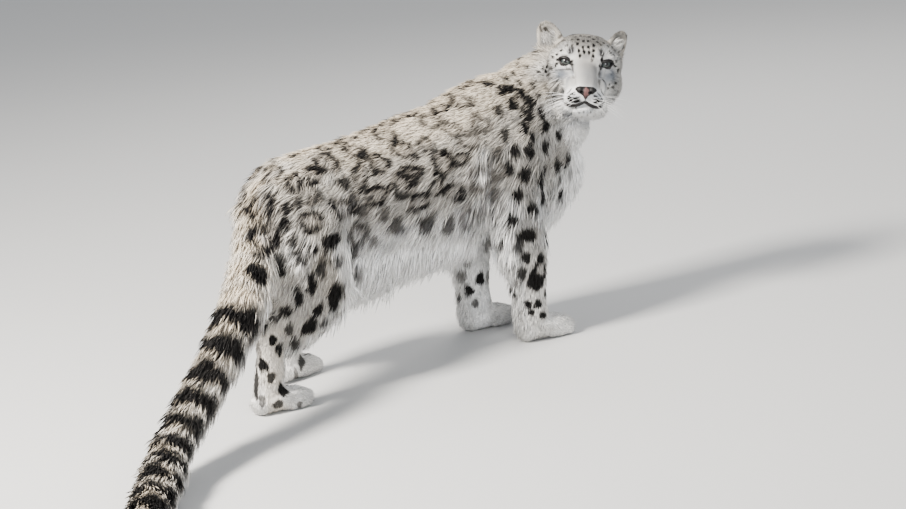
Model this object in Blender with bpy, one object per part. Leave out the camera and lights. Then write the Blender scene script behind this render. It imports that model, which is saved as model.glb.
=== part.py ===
# Snow leopard, standing on four feet and looking back over its right shoulder.
# The frame: +X the way the body points, +Y its left side, +Z up, the floor at z = 0.
# All sizes are metres. The body is shaped as one form and parted by thin cuts.

import bpy
import bmesh
import math
from mathutils import Matrix, Vector

GAP = 0.0003            # clear space between neighbouring parts
ORIGIN = Vector((-0.164, -0.310, 0.0))   # middle of the footprint in the drawing's own frame

BODY_GRAIN = 0.0060     # grain at which the forms of the body are fused
HEAD_GRAIN = 0.0036
WHOLE_GRAIN = 0.0045
BODY_FACES = 3600       # triangles of the body and of the head before they are parted
HEAD_FACES = 1000

# The head's own frame: its origin lies midway between the eyes.
EYE_MIDDLE = Vector((0.5615, -0.120, 0.5967))
HEAD_TURN = math.radians(-31.8)     # from looking straight back along the right side
HEAD_RAISE = math.radians(9.8)
HEAD_TILT = math.radians(10.3)
EYE_SPACING = 0.090
EYE_RADIUS = 0.0185
EYE_FRONT = 0.004                   # how far the ball's front stands before the frame's origin
EYE_SPLAY = math.radians(12)        # the openings turn outward by this
LID_WIDTH = 0.034
LID_HEIGHT = 0.0195
LID_SLANT = math.radians(17)
LID_POINTS = 14
LID_THICKNESS = 0.0024

# Forms of the head, in its own frame (forward, left, up).
# Lofts: forward, left, up, half width, reach up, reach down.
SKULL = (
    (-0.150, 0, 0.000, 0.050, 0.042, 0.055),
    (-0.120, 0, 0.000, 0.070, 0.060, 0.080),
    (-0.080, 0, 0.000, 0.082, 0.067, 0.100),
    (-0.045, 0, 0.000, 0.082, 0.065, 0.106),
    (-0.020, 0, -0.004, 0.073, 0.056, 0.102),
    (-0.003, 0, -0.012, 0.058, 0.040, 0.088),
)
MUZZLE = (
    (-0.030, 0, -0.058, 0.058, 0.046, 0.054),
    (0.008, 0, -0.064, 0.052, 0.040, 0.048),
    (0.036, 0, -0.070, 0.043, 0.028, 0.038),
    (0.060, 0, -0.073, 0.033, 0.018, 0.026),
)
BRIDGE = (
    (-0.025, 0, 0.010, 0.030, 0.020, 0.040),
    (0.004, 0, -0.010, 0.028, 0.020, 0.040),
    (0.038, 0, -0.036, 0.025, 0.018, 0.034),
    (0.064, 0, -0.056, 0.022, 0.013, 0.022),
)
# Rounder masses: name, place, radii; a place off the middle is made on both sides.
HEAD_LUMPS = (
    ("brow", (-0.024, 0.034, 0.018), (0.026, 0.034, 0.024)),
    ("cheek", (-0.045, 0.050, -0.030), (0.046, 0.038, 0.052)),
    ("whisker_pad", (0.042, 0.021, -0.082), (0.031, 0.024, 0.021)),
    ("jaw", (-0.014, 0.026, -0.094), (0.048, 0.034, 0.028)),
    ("chin", (0.034, 0.000, -0.109), (0.027, 0.029, 0.018)),
)
MUZZLE_MIDDLE = (-0.010, 0.000, -0.080)
LIP_LINE = (
    (0.074, 0.000, -0.087), (0.070, 0.012, -0.094), (0.060, 0.024, -0.100),
    (0.045, 0.034, -0.102), (0.028, 0.041, -0.099), (0.014, 0.046, -0.094),
)
# Each ear: side, foot's middle in the head's frame, lean outward, turn outward, size.
EARS = {
    "ear_right": (-1, (-0.070, 0.071, 0.030), math.radians(27), math.radians(16), 1.00),
    "ear_left": (1, (-0.070, 0.062, 0.024), math.radians(24), math.radians(36), 0.92),
}
# Up the ear: height, half width, reach forward, reach back.
EAR_ROWS = (
    (-0.016, 0.031, 0.012, 0.014), (0.004, 0.032, 0.011, 0.013), (0.026, 0.030, 0.009, 0.010),
    (0.044, 0.024, 0.007, 0.008), (0.056, 0.014, 0.005, 0.006),
)
EAR_HOLLOW = ((0.013, 0.000, 0.026), (0.014, 0.020, 0.024))     # centre and radii

# The trunk, rump to chest: place along X, crown, keel, half width.
TRUNK = (
    (-0.268, 0.452, 0.385, 0.046),
    (-0.243, 0.484, 0.340, 0.076),
    (-0.200, 0.512, 0.300, 0.098),
    (-0.130, 0.524, 0.272, 0.110),
    (-0.040, 0.527, 0.258, 0.113),
    (0.060, 0.537, 0.250, 0.115),
    (0.150, 0.552, 0.245, 0.116),
    (0.240, 0.562, 0.242, 0.115),
    (0.320, 0.588, 0.240, 0.112),
    (0.390, 0.600, 0.234, 0.109),
    (0.450, 0.598, 0.232, 0.103),
    (0.503, 0.582, 0.262, 0.090),
    (0.538, 0.560, 0.312, 0.072),
    (0.557, 0.525, 0.365, 0.050),
    (0.567, 0.480, 0.405, 0.030),
)

# The long coat under the trunk, as one form out to its tips: X, upper edge, tips, half width.
BELLY_COAT = (
    (-0.165, 0.330, 0.230, 0.045),
    (-0.125, 0.330, 0.150, 0.070),
    (-0.050, 0.330, 0.138, 0.086),
    (0.040, 0.330, 0.146, 0.088),
    (0.130, 0.330, 0.162, 0.086),
    (0.220, 0.330, 0.176, 0.078),
    (0.290, 0.330, 0.205, 0.060),
)

# The neck, shoulders to skull: centre, half width, reach above, reach below.
NECK = (
    ((0.370, 0.000, 0.470), 0.098, 0.110, 0.120),
    ((0.450, 0.004, 0.495), 0.096, 0.108, 0.125),
    ((0.520, 0.010, 0.520), 0.092, 0.104, 0.130),
    ((0.580, 0.003, 0.540), 0.084, 0.098, 0.110),
    ((0.610, -0.025, 0.560), 0.076, 0.082, 0.085),
    ((0.600, -0.060, 0.575), 0.066, 0.066, 0.066),
)
THROAT = ((0.545, -0.060, 0.452), (0.050, 0.050, 0.058))    # centre and radii

# Fore limbs, shoulder to wrist: centre, half width, reach forward, reach back.
FORE_LIMB = (
    ((0.352, 0.058, 0.510), 0.040, 0.060, 0.060),
    ((0.360, 0.078, 0.430), 0.050, 0.090, 0.084),
    ((0.358, 0.090, 0.345), 0.051, 0.084, 0.080),
    ((0.354, 0.099, 0.270), 0.048, 0.070, 0.066),
    ((0.357, 0.105, 0.210), 0.045, 0.060, 0.058),
    ((0.361, 0.105, 0.155), 0.042, 0.049, 0.052),
    ((0.358, 0.105, 0.100), 0.040, 0.042, 0.043),
    ((0.357, 0.105, 0.050), 0.041, 0.044, 0.045),
    ((0.357, 0.105, 0.022), 0.038, 0.040, 0.042),
)
LEFT_FORE_SHIFT = Vector((-0.024, -0.020, 0.0))

# Hind limbs, right side, hip to knee, knee to hock and hock to paw.
THIGH = (
    ((-0.190, 0.050, 0.470), 0.045, 0.070, 0.070),
    ((-0.184, 0.074, 0.395), 0.056, 0.098, 0.100),
    ((-0.176, 0.092, 0.320), 0.056, 0.090, 0.118),
    ((-0.166, 0.101, 0.262), 0.051, 0.070, 0.120),
)
SHANK = (
    ((-0.164, 0.102, 0.285), 0.050, 0.074, 0.066),
    ((-0.198, 0.104, 0.230), 0.048, 0.086, 0.078),
    ((-0.246, 0.105, 0.182), 0.042, 0.080, 0.066),
    ((-0.300, 0.105, 0.160), 0.034, 0.052, 0.048),
)
HOCK = (
    ((-0.320, 0.105, 0.205), 0.022, 0.022, 0.022),
    ((-0.318, 0.105, 0.175), 0.031, 0.036, 0.034),
    ((-0.322, 0.105, 0.130), 0.031, 0.036, 0.034),
    ((-0.332, 0.105, 0.080), 0.032, 0.038, 0.036),
    ((-0.338, 0.105, 0.040), 0.035, 0.040, 0.040),
    ((-0.338, 0.105, 0.020), 0.033, 0.038, 0.038),
)
# How far each joint of the left hind limb stands from the right one, mirrored.
LEFT_HIP_SHIFT = Vector((0.010, -0.002, 0.0))
LEFT_KNEE_SHIFT = Vector((0.085, -0.008, 0.012))
LEFT_HOCK_SHIFT = Vector((0.158, -0.018, 0.000))
LEFT_SHANK_FRINGE = 0.026           # how much lower the coat hangs before the left hock

# Paws: half width, height over the toes, and from the limb's axis to heel and toe tips.
FORE_PAW = {"half": 0.045, "height": 0.052, "heel": 0.046, "reach": 0.104}
HIND_PAW = {"half": 0.042, "height": 0.048, "heel": 0.050, "reach": 0.104}
TOES = 4
SOLE_SINK = 0.004       # the paws are drawn this much too low, then cut flat at the floor

NECK_PLANE = 1.015      # x + z on the flat that parts neck and torso
LIMB_INNER = 0.052      # how far from the middle plane each limb is parted
FREE_INNER = 0.004      # the same below the trunk, where the limb stands free
FREE_SHRINK = 0.002

# Outlines in the XZ plane where the limbs are parted from the trunk.
FORE_OUTLINE = (
    (0.282, -0.05), (0.492, -0.05), (0.492, 0.085), (0.430, 0.150), (0.440, 0.250),
    (0.452, 0.400), (0.425, 0.465), (0.370, 0.492), (0.310, 0.478), (0.272, 0.430),
    (0.266, 0.350), (0.272, 0.250), (0.285, 0.150),
)
FORE_LEFT_OUTLINE = tuple((x - 0.022, z) for x, z in FORE_OUTLINE)
HIND_OUTLINE = (
    (-0.420, -0.05), (-0.215, -0.05), (-0.215, 0.105), (-0.130, 0.175), (-0.082, 0.260),
    (-0.080, 0.370), (-0.110, 0.440), (-0.165, 0.475), (-0.225, 0.472), (-0.275, 0.440),
    (-0.300, 0.370), (-0.330, 0.290), (-0.385, 0.200), (-0.410, 0.080),
)
HIND_LEFT_OUTLINE = (
    (-0.290, -0.05), (-0.020, -0.05), (-0.020, 0.090), (-0.012, 0.150), (0.000, 0.220),
    (0.000, 0.330), (-0.035, 0.420), (-0.110, 0.475), (-0.200, 0.475), (-0.265, 0.440),
    (-0.310, 0.350), (-0.320, 0.230), (-0.295, 0.100),
)
# Each limb's outline, its side and the height below which it stands free.
LIMB_OUTLINES = {
    "leg_fore_right": (FORE_OUTLINE, -1, 0.200),
    "leg_fore_left": (FORE_LEFT_OUTLINE, 1, 0.200),
    "leg_hind_right": (HIND_OUTLINE, -1, 0.125),
    "leg_hind_left": (HIND_LEFT_OUTLINE, 1, 0.125),
}

# The tail: centre line from the rump to the tip, and the radius of its coat there.
TAIL = (
    ((-0.195, 0.000, 0.452), 0.046),
    ((-0.242, -0.014, 0.405), 0.054),
    ((-0.298, -0.060, 0.342), 0.054),
    ((-0.404, -0.170, 0.272), 0.052),
    ((-0.507, -0.247, 0.200), 0.048),
    ((-0.614, -0.312, 0.132), 0.045),
    ((-0.738, -0.408, 0.076), 0.044),
    ((-0.888, -0.592, 0.046), 0.045),
    ((-0.965, -0.700, 0.042), 0.042),
    ((-0.995, -0.745, 0.036), 0.029),
)
TAIL_CUTS = {"tail_base": 3, "tail_middle": 6}   # rows at which the tail is parted

COAT_COLOUR = (0.60, 0.58, 0.54)
EYE_COLOUR = (0.42, 0.47, 0.42)


def clear_scene():
    for item in list(bpy.data.objects):
        bpy.data.objects.remove(item, do_unlink=True)


def material(name, colour, roughness, metallic=0.0):
    finish = bpy.data.materials.new(name)
    finish.use_nodes = True
    shader = finish.node_tree.nodes["Principled BSDF"]
    shader.inputs["Base Color"].default_value = (*colour, 1.0)
    shader.inputs["Roughness"].default_value = roughness
    shader.inputs["Metallic"].default_value = metallic
    finish.diffuse_color = (*colour, 1.0)
    return finish


def add_object(name, mesh):
    item = bpy.data.objects.new(name, mesh)
    bpy.context.scene.collection.objects.link(item)
    return item


def object_from_bmesh(name, shape):
    bmesh.ops.recalc_face_normals(shape, faces=shape.faces)
    mesh = bpy.data.meshes.new(name)
    shape.to_mesh(mesh)
    shape.free()
    return add_object(name, mesh)


def remove(item):
    mesh = item.data
    bpy.data.objects.remove(item, do_unlink=True)
    if mesh.users == 0:
        bpy.data.meshes.remove(mesh)


def bake(item):
    """Replace an object's mesh by what its modifiers make of it."""
    graph = bpy.context.evaluated_depsgraph_get()
    mesh = bpy.data.meshes.new_from_object(item.evaluated_get(graph))
    item.modifiers.clear()
    item.data = mesh
    return item


def curve_values(rows, steps):
    """Points of a smooth curve through the rows, with `steps` to each span."""
    points = []
    last = len(rows) - 1
    for i in range(last):
        before = rows[max(i - 1, 0)]
        start = rows[i]
        end = rows[i + 1]
        after = rows[min(i + 2, last)]
        for k in range(steps):
            t = k / steps
            points.append([
                0.5 * (2 * b + (c - a) * t + (2 * a - 5 * b + 4 * c - d) * t * t
                       + (3 * b - a - 3 * c + d) * t * t * t)
                for a, b, c, d in zip(before, start, end, after)
            ])
    points.append(list(rows[last]))
    return points


def loft(name, rows, side=(0, 1, 0), steps=3, around=24, square=2.0, cap=0.45):
    """A closed round form through rows of (x, y, z, half, reach up, reach down).

    `side` is the direction of `half`; `up` is at a right angle to it and to the path.
    `square` is 2 for an ellipse and more for fuller corners; `cap` rounds the two ends.
    """
    values = curve_values(rows, steps)
    centres = [Vector(v[:3]) for v in values]
    side = Vector(side)
    rings = []
    count = len(values)
    for i, v in enumerate(values):
        ahead = centres[min(i + 1, count - 1)]
        behind = centres[max(i - 1, 0)]
        tangent = (ahead - behind).normalized()
        across = (side - tangent * side.dot(tangent)).normalized()
        rise = tangent.cross(across)
        if rise.z < -0.5 or (abs(rise.z) <= 0.5 and rise.x < 0):
            rise = -rise
        rings.append((centres[i], across, rise, v[3], v[4], v[5], tangent))
    closed = []
    for end in (0, -1):
        c, across, rise, half, up, down, tangent = rings[end]
        out = -tangent if end == 0 else tangent
        size = cap * min(half, (up + down) / 2)
        bulge = []
        for angle in (30, 58, 78):
            a = math.radians(angle)
            bulge.append((c + out * size * math.sin(a), across, rise, half * math.cos(a),
                          up * math.cos(a), down * math.cos(a), tangent))
        closed.append(bulge)
    rings = list(reversed(closed[0])) + rings + closed[1]
    shape = bmesh.new()
    rows_of_verts = []
    for c, across, rise, half, up, down, tangent in rings:
        ring = []
        for k in range(around):
            a = 2 * math.pi * k / around
            x = math.cos(a)
            y = math.sin(a)
            x = math.copysign(abs(x) ** (2 / square), x)
            y = math.copysign(abs(y) ** (2 / square), y)
            reach = up if y >= 0 else down
            ring.append(shape.verts.new(c + across * half * x + rise * reach * y))
        rows_of_verts.append(ring)
    for first, second in zip(rows_of_verts, rows_of_verts[1:]):
        for k in range(around):
            j = (k + 1) % around
            shape.faces.new((first[k], first[j], second[j], second[k]))
    shape.faces.new(rows_of_verts[0][::-1])
    shape.faces.new(rows_of_verts[-1])
    return object_from_bmesh(name, shape)


def ball(name, centre, radii, frame=None, segments=20, rings=14):
    """An ellipsoid in the body's frame, or in `frame` where one is given."""
    shape = bmesh.new()
    bmesh.ops.create_uvsphere(shape, u_segments=segments, v_segments=rings, radius=1.0)
    place = Matrix.Translation(centre) @ Matrix.Diagonal((*radii, 1.0))
    if frame is not None:
        place = frame @ place
    bmesh.ops.transform(shape, matrix=place, verts=shape.verts)
    return object_from_bmesh(name, shape)


def prism(name, outline, low, high):
    """An outline in the XZ plane carried from y = low to y = high."""
    shape = bmesh.new()
    rings = [[shape.verts.new((x, level, z)) for x, z in outline] for level in (low, high)]
    count = len(outline)
    for k in range(count):
        j = (k + 1) % count
        shape.faces.new((rings[0][k], rings[0][j], rings[1][j], rings[1][k]))
    shape.faces.new(rings[0][::-1])
    shape.faces.new(rings[1])
    return object_from_bmesh(name, shape)


def join(name, pieces):
    shape = bmesh.new()
    for piece in pieces:
        shape.from_mesh(piece.data)
        remove(piece)
    mesh = bpy.data.meshes.new(name)
    shape.to_mesh(mesh)
    shape.free()
    return add_object(name, mesh)


def fuse(name, pieces, voxel, smoothing):
    """Melt overlapping forms into one skin and soften the creases between them."""
    whole = join(name, pieces)
    melt = whole.modifiers.new("melt", "REMESH")
    melt.mode = "VOXEL"
    melt.voxel_size = voxel
    soften = whole.modifiers.new("soften", "SMOOTH")
    soften.factor = 0.5
    soften.iterations = smoothing
    return bake(whole)


def boolean(item, other, operation, solver="EXACT", keep_other=False):
    cut = item.modifiers.new("cut", "BOOLEAN")
    cut.operation = operation
    cut.solver = solver
    cut.object = other
    bake(item)
    if not keep_other:
        remove(other)
    return item


def keep_largest(item):
    """Keep the largest closed surface and drop any loose scrap."""
    shape = bmesh.new()
    shape.from_mesh(item.data)
    bmesh.ops.triangulate(shape, faces=shape.faces)
    unseen = set(shape.faces)
    groups = []
    while unseen:
        seed = unseen.pop()
        group = {seed}
        front = [seed]
        while front:
            face = front.pop()
            for edge in face.edges:
                for other in edge.link_faces:
                    if other in unseen:
                        unseen.remove(other)
                        group.add(other)
                        front.append(other)
        groups.append(group)
    groups.sort(key=lambda g: sum(f.calc_area() for f in g), reverse=True)
    loose = [face for group in groups[1:] for face in group]
    bmesh.ops.delete(shape, geom=loose, context="FACES")
    stray = [v for v in shape.verts if not v.link_faces]
    bmesh.ops.delete(shape, geom=stray, context="VERTS")
    shape.to_mesh(item.data)
    shape.free()
    return item


def copy_of(item, name):
    return add_object(name, item.data.copy())


def grow(item, distance):
    """Move a copy's surface outward by a small distance along its normals."""
    shape = bmesh.new()
    shape.from_mesh(item.data)
    shape.normal_update()
    moves = [(v, v.co + v.normal * distance) for v in shape.verts]
    for v, place in moves:
        v.co = place
    shape.to_mesh(item.data)
    shape.free()
    return item


def head_frame():
    level = Vector((math.sin(HEAD_TURN), -math.cos(HEAD_TURN), 0.0))
    forward = level * math.cos(HEAD_RAISE) + Vector((0, 0, 1)) * math.sin(HEAD_RAISE)
    upright = (Vector((0, 0, 1)) - forward * forward.z).normalized()
    left = upright.cross(forward)
    up = upright * math.cos(HEAD_TILT) + left * math.sin(HEAD_TILT)
    left = up.cross(forward)
    turn = Matrix((forward, left, up)).transposed().to_4x4()
    return Matrix.Translation(EYE_MIDDLE) @ turn


HEAD = head_frame()


def mirrored(rows, shift=Vector((0, 0, 0))):
    """Rows for one side, as (x, y, z, half, up, down)."""
    return [(x + shift.x, y + shift.y, z + shift.z, h, u, d) for (x, y, z), h, u, d in rows]


def right_side(rows):
    return [(x, -y, z, h, u, d) for (x, y, z), h, u, d in rows]


def trunk():
    rows = [(x, 0.0, (top + low) / 2, half, (top - low) / 2, (top - low) / 2)
            for x, top, low, half in TRUNK]
    return loft("trunk", rows, square=2.25, steps=2, around=32)


def belly_coat():
    rows = [(x, 0.0, top, half, 0.02, top - tips) for x, top, tips, half in BELLY_COAT]
    return loft("belly_coat", rows, square=2.0, steps=2)


def neck():
    rows = [(*c, h, u, d) for c, h, u, d in NECK]
    return loft("neck_form", rows, square=2.1, steps=3, around=28)


def paw(name, x, y, size, turn=0.0):
    """One paw: a low instep, a heel and a row of toes, a little below the floor."""
    half = size["half"]
    height = size["height"] + SOLE_SINK
    toe = half * 2 / TOES * 0.62
    parts = []
    rows = [
        (x - size["heel"] + 0.020, y, height * 0.42, half * 0.62, height * 0.42, height * 0.42),
        (x, y, height * 0.62, half * 0.86, height * 0.62, height * 0.62),
        (x + size["reach"] * 0.45, y, height * 0.55, half * 0.98, height * 0.52, height * 0.55),
        (x + size["reach"] * 0.70, y, height * 0.42, half * 0.90, height * 0.42, height * 0.42),
    ]
    parts.append(loft(name + "_instep", rows, steps=2, around=20))
    for k in range(TOES):
        across = (k - (TOES - 1) / 2) / ((TOES - 1) / 2)
        place = Vector((x + size["reach"] - 0.026 - 0.012 * across * across,
                        y + across * (half - toe * 0.95), height * 0.40))
        parts.append(ball(name + "_toe", place, (0.030, toe, height * 0.42)))
    spin = Matrix.Translation((x, y, -SOLE_SINK)) @ Matrix.Rotation(turn, 4, "Z") @ \
        Matrix.Translation((-x, -y, 0))
    for part in parts:
        part.data.transform(spin)
    return parts


def limbs():
    parts = []
    parts.append(loft("fore_right", right_side(FORE_LIMB)))
    parts.append(loft("fore_left", mirrored(FORE_LIMB, LEFT_FORE_SHIFT)))
    x, y, z = FORE_LIMB[-1][0]
    parts += paw("paw_fore_right", x, -y, FORE_PAW)
    parts += paw("paw_fore_left", x + LEFT_FORE_SHIFT.x, y + LEFT_FORE_SHIFT.y, FORE_PAW,
                 math.radians(6))
    for rows, first, last in ((THIGH, LEFT_HIP_SHIFT, LEFT_KNEE_SHIFT),
                              (SHANK, LEFT_KNEE_SHIFT, LEFT_HOCK_SHIFT),
                              (HOCK, LEFT_HOCK_SHIFT, LEFT_HOCK_SHIFT)):
        parts.append(loft("hind_right", right_side(rows)))
        moved = []
        for k, ((a, b, c), h, u, d) in enumerate(rows):
            t = k / (len(rows) - 1)
            shift = first.lerp(last, t)
            if rows is SHANK:
                d += LEFT_SHANK_FRINGE * t
            moved.append((a + shift.x, b + shift.y, c + shift.z, h, u, d))
        parts.append(loft("hind_left", moved))
    x, y, z = HOCK[-1][0]
    parts += paw("paw_hind_right", x, -y, HIND_PAW)
    parts += paw("paw_hind_left", x + LEFT_HOCK_SHIFT.x, y + LEFT_HOCK_SHIFT.y, HIND_PAW,
                 math.radians(22))
    return parts


def in_head(item):
    item.data.transform(HEAD)
    return item


def head_forms():
    """Skull, cheeks, muzzle and jaw, in the head's own frame (forward, left, up)."""
    skull = loft("skull", SKULL, steps=3, around=32, square=2.2, cap=0.42)
    muzzle = loft("muzzle", MUZZLE, steps=3, around=28, square=2.3, cap=0.45)
    bridge = loft("bridge", BRIDGE, steps=3, cap=0.6)
    parts = [in_head(skull), in_head(muzzle), in_head(bridge)]
    for name, place, radii in HEAD_LUMPS:
        for side in ((-1, 1) if place[1] else (1,)):
            centre = (place[0], side * place[1], place[2])
            parts.append(ball(name, centre, radii, HEAD))
    return parts


def body():
    """Trunk, neck, limbs and head fused to one skin, thinned to a modest mesh."""
    forms = [trunk(), belly_coat(), neck(), ball("throat", *THROAT)] + limbs()
    torso = fuse("trunk_form", forms, BODY_GRAIN, 16)
    head = fuse("head_form", head_forms(), HEAD_GRAIN, 10)
    whole = fuse("whole", [torso, head], WHOLE_GRAIN, 2)
    on_head = [near_head(v.co) for v in whole.data.vertices]
    thin_out(whole, [not near for near in on_head], BODY_FACES)
    on_head = [near_head(v.co) for v in whole.data.vertices]
    thin_out(whole, on_head, HEAD_FACES)
    return boolean(whole, below_floor(), "DIFFERENCE")


def near_head(point):
    place = HEAD.inverted() @ point
    return place.x > -0.11 and abs(place.y) < 0.12 and abs(place.z + 0.03) < 0.13


def thin_out(item, chosen, wanted):
    """Thin the chosen vertices' surface to about the wanted number of triangles."""
    group = item.vertex_groups.new(name="chosen")
    group.add([i for i, yes in enumerate(chosen) if yes], 1.0, "REPLACE")
    total = sum(len(p.vertices) - 2 for p in item.data.polygons)
    inside = sum(len(p.vertices) - 2 for p in item.data.polygons
                 if all(chosen[i] for i in p.vertices))
    thin = item.modifiers.new("thin", "DECIMATE")
    thin.vertex_group = group.name
    thin.ratio = (total - inside + wanted) / total
    bake(item)
    item.vertex_groups.clear()
    return item


def eyes():
    """Two balls set in the sockets."""
    parts = {}
    for name, side in (("eye_right", -1), ("eye_left", 1)):
        centre = (EYE_FRONT - EYE_RADIUS, side * EYE_SPACING / 2, 0)
        parts[name] = ball(name, centre, (EYE_RADIUS,) * 3, HEAD, 14, 9)
    return parts


def eye_opening(side, forward, grow_by=0.0):
    """The almond between the lids, as points round it on a sphere about the ball."""
    points = []
    centre = Vector((EYE_FRONT - EYE_RADIUS, side * EYE_SPACING / 2, 0))
    turn = Matrix.Rotation(side * EYE_SPLAY, 3, "Z")
    for k in range(LID_POINTS):
        a = 2 * math.pi * k / LID_POINTS
        x = math.cos(a) * (LID_WIDTH / 2 + grow_by)
        y = math.sin(a) * (LID_HEIGHT / 2 + grow_by)
        y *= 1 - 0.35 * abs(math.cos(a)) ** 3
        across = x * math.cos(LID_SLANT) - y * math.sin(LID_SLANT)
        rise = x * math.sin(LID_SLANT) + y * math.cos(LID_SLANT)
        reach = EYE_RADIUS + forward
        depth = math.sqrt(max(reach * reach - across * across - rise * rise, 1e-6))
        points.append(centre + turn @ Vector((depth, side * across, rise)))
    return points


def almond(side):
    """A cutter as wide as the eye's opening, from the ball out to the front."""
    shape = bmesh.new()
    rings = []
    for forward in (0.0, 0.030):
        rings.append([shape.verts.new(p) for p in eye_opening(side, forward)])
    for k in range(LID_POINTS):
        j = (k + 1) % LID_POINTS
        shape.faces.new((rings[0][k], rings[0][j], rings[1][j], rings[1][k]))
    shape.faces.new(rings[0][::-1])
    shape.faces.new(rings[1])
    return in_head(object_from_bmesh("almond", shape))


def ring_tube(name, points, radius, sides=5):
    """A thin closed loop of round section through the points."""
    shape = bmesh.new()
    count = len(points)
    middle = sum(points, Vector()) / count
    rings = []
    for k, point in enumerate(points):
        tangent = (points[(k + 1) % count] - points[k - 1]).normalized()
        out = point - middle
        out = (out - tangent * out.dot(tangent)).normalized()
        over = tangent.cross(out)
        ring = []
        for i in range(sides):
            a = 2 * math.pi * i / sides
            ring.append(shape.verts.new(point + (out * math.cos(a) + over * math.sin(a)) * radius))
        rings.append(ring)
    for k in range(count):
        first = rings[k]
        second = rings[(k + 1) % count]
        for i in range(sides):
            j = (i + 1) % sides
            shape.faces.new((first[i], first[j], second[j], second[i]))
    return object_from_bmesh(name, shape)


def surface_points(item, points, sink):
    """Carry points of the head's frame out to the muzzle's surface, then sink them."""
    back = HEAD.inverted()
    middle = HEAD @ Vector(MUZZLE_MIDDLE)
    found = []
    for point in points:
        out = ((HEAD @ Vector(point)) - middle).normalized()
        hit, place, normal, index = item.ray_cast(middle + out * 0.3, -out)
        found.append(back @ (place - out * sink))
    return found


def groove(item, name, points, radius):
    """Cut a round-bottomed line in the surface along the points."""
    rows = [(*p, radius, radius, radius) for p in surface_points(item, points, radius * 0.2)]
    line = loft(name, rows, side=(1, 0, 0.2), steps=2, around=6, cap=0.6)
    boolean(item, in_head(line), "DIFFERENCE")


def finish_head(head):
    """Add the lids, the nose and the lips, and cut sockets, nostrils and the mouth."""
    nose = ball("nose", (0.069, 0, -0.061), (0.011, 0.0235, 0.0125), HEAD, 14, 8)
    boolean(head, nose, "UNION")
    for side in (-1, 1):
        lids = eye_opening(side, 0.0015, 0.001)
        tube = in_head(ring_tube("lids", lids, LID_THICKNESS))
        boolean(head, tube, "UNION")
    for side in (-1, 1):
        centre = (EYE_FRONT - EYE_RADIUS, side * EYE_SPACING / 2, 0)
        boolean(head, almond(side), "DIFFERENCE")
        socket = ball("socket", centre, (EYE_RADIUS + GAP,) * 3, HEAD, 14, 9)
        boolean(head, socket, "DIFFERENCE")
        nostril = ball("nostril", (0.080, side * 0.0105, -0.064), (0.012, 0.0045, 0.0038), HEAD, 8, 6)
        boolean(head, nostril, "DIFFERENCE")
    groove(head, "philtrum", ((0.080, 0, -0.073), (0.078, 0, -0.079), (0.074, 0, -0.086)), 0.0022)
    for side in (-1, 1):
        lips = [(f, side * s, u) for f, s, u in LIP_LINE]
        groove(head, "lips", lips, 0.0026)
    return keep_largest(head)


def ear(side, foot, lean, turn, size):
    """A broad-based, round-tipped cup, its hollow turned forward and outward."""
    stand = Matrix.Translation((foot[0], side * foot[1], foot[2]))
    leant = Matrix.Rotation(side * -lean, 4, "X")
    turned = Matrix.Rotation(side * turn, 4, "Z")
    frame = HEAD @ stand @ leant @ turned @ Matrix.Scale(size, 4)
    rows = [(0, 0, height, half, front, back) for height, half, front, back in EAR_ROWS]
    cup = loft("ear", rows, steps=2, around=14, cap=0.5)
    cup.data.transform(frame)
    hollow = ball("hollow", *EAR_HOLLOW, frame, 12, 7)
    return boolean(cup, hollow, "DIFFERENCE")


def below_floor():
    """Everything under the floor, so that what stands on it gets a flat sole."""
    outline = [(-1.3, -0.2), (0.9, -0.2), (0.9, 0.0), (-1.3, 0.0)]
    return prism("floor", outline, -1.0, 0.5)


def head_region(extra):
    """The space that the head takes, from a flat behind the skull forward."""
    half = 0.125 + extra
    start = -0.088 - extra
    rows = [(start, 0, -0.030, 0.082 + extra, 0.080 + extra, 0.084 + extra),
            (start + 0.030, 0, -0.030, half, half, half),
            (0.060, 0, -0.030, half, half, half),
            (0.160, 0, -0.030, half, half, half)]
    region = loft("head_region", rows, steps=1, around=32, cap=0.0)
    region.data.transform(HEAD)
    return region


def neck_region(extra):
    """Everything above a slanted flat across the base of the neck."""
    level = NECK_PLANE - extra * math.sqrt(2)
    outline = [(0.34, level - 0.34), (0.80, level - 0.80), (0.95, 0.60), (0.60, 0.85)]
    return prism("neck_region", outline, -0.25, 0.25)


def widened(outline, extra):
    """An outline moved outward by a small distance at each corner."""
    count = len(outline)
    wide = []
    for k, point in enumerate(outline):
        here = Vector(point)
        before = (here - Vector(outline[k - 1])).normalized()
        after = (Vector(outline[(k + 1) % count]) - here).normalized()
        first = Vector((before.y, -before.x))
        second = Vector((after.y, -after.x))
        out = (first + second) / (1 + first.dot(second))
        wide.append(here + out * extra)
    return wide


def below(outline, level):
    """The part of an outline that lies under a level."""
    kept = []
    count = len(outline)
    for k, here in enumerate(outline):
        ahead = outline[(k + 1) % count]
        if here.y <= level:
            kept.append(here)
        if (here.y - level) * (ahead.y - level) < 0:
            kept.append(here.lerp(ahead, (level - here.y) / (ahead.y - here.y)))
    return kept


def limb_region(outline, side, free, extra):
    """A limb's outline seen from the side, from near the middle outward.

    Below the trunk it starts nearer the middle, so that the whole limb lies in it.
    """
    outer = side * 0.22
    inner = side * (LIMB_INNER - extra)
    region = prism("limb_region", widened(outline, extra), min(inner, outer), max(inner, outer))
    inner = side * (FREE_INNER - extra)
    outer = side * 0.21
    low = below(widened(outline, extra - FREE_SHRINK), free + extra)
    stub = prism("stub", low, min(inner, outer), max(inner, outer))
    return boolean(region, stub, "UNION")


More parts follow.
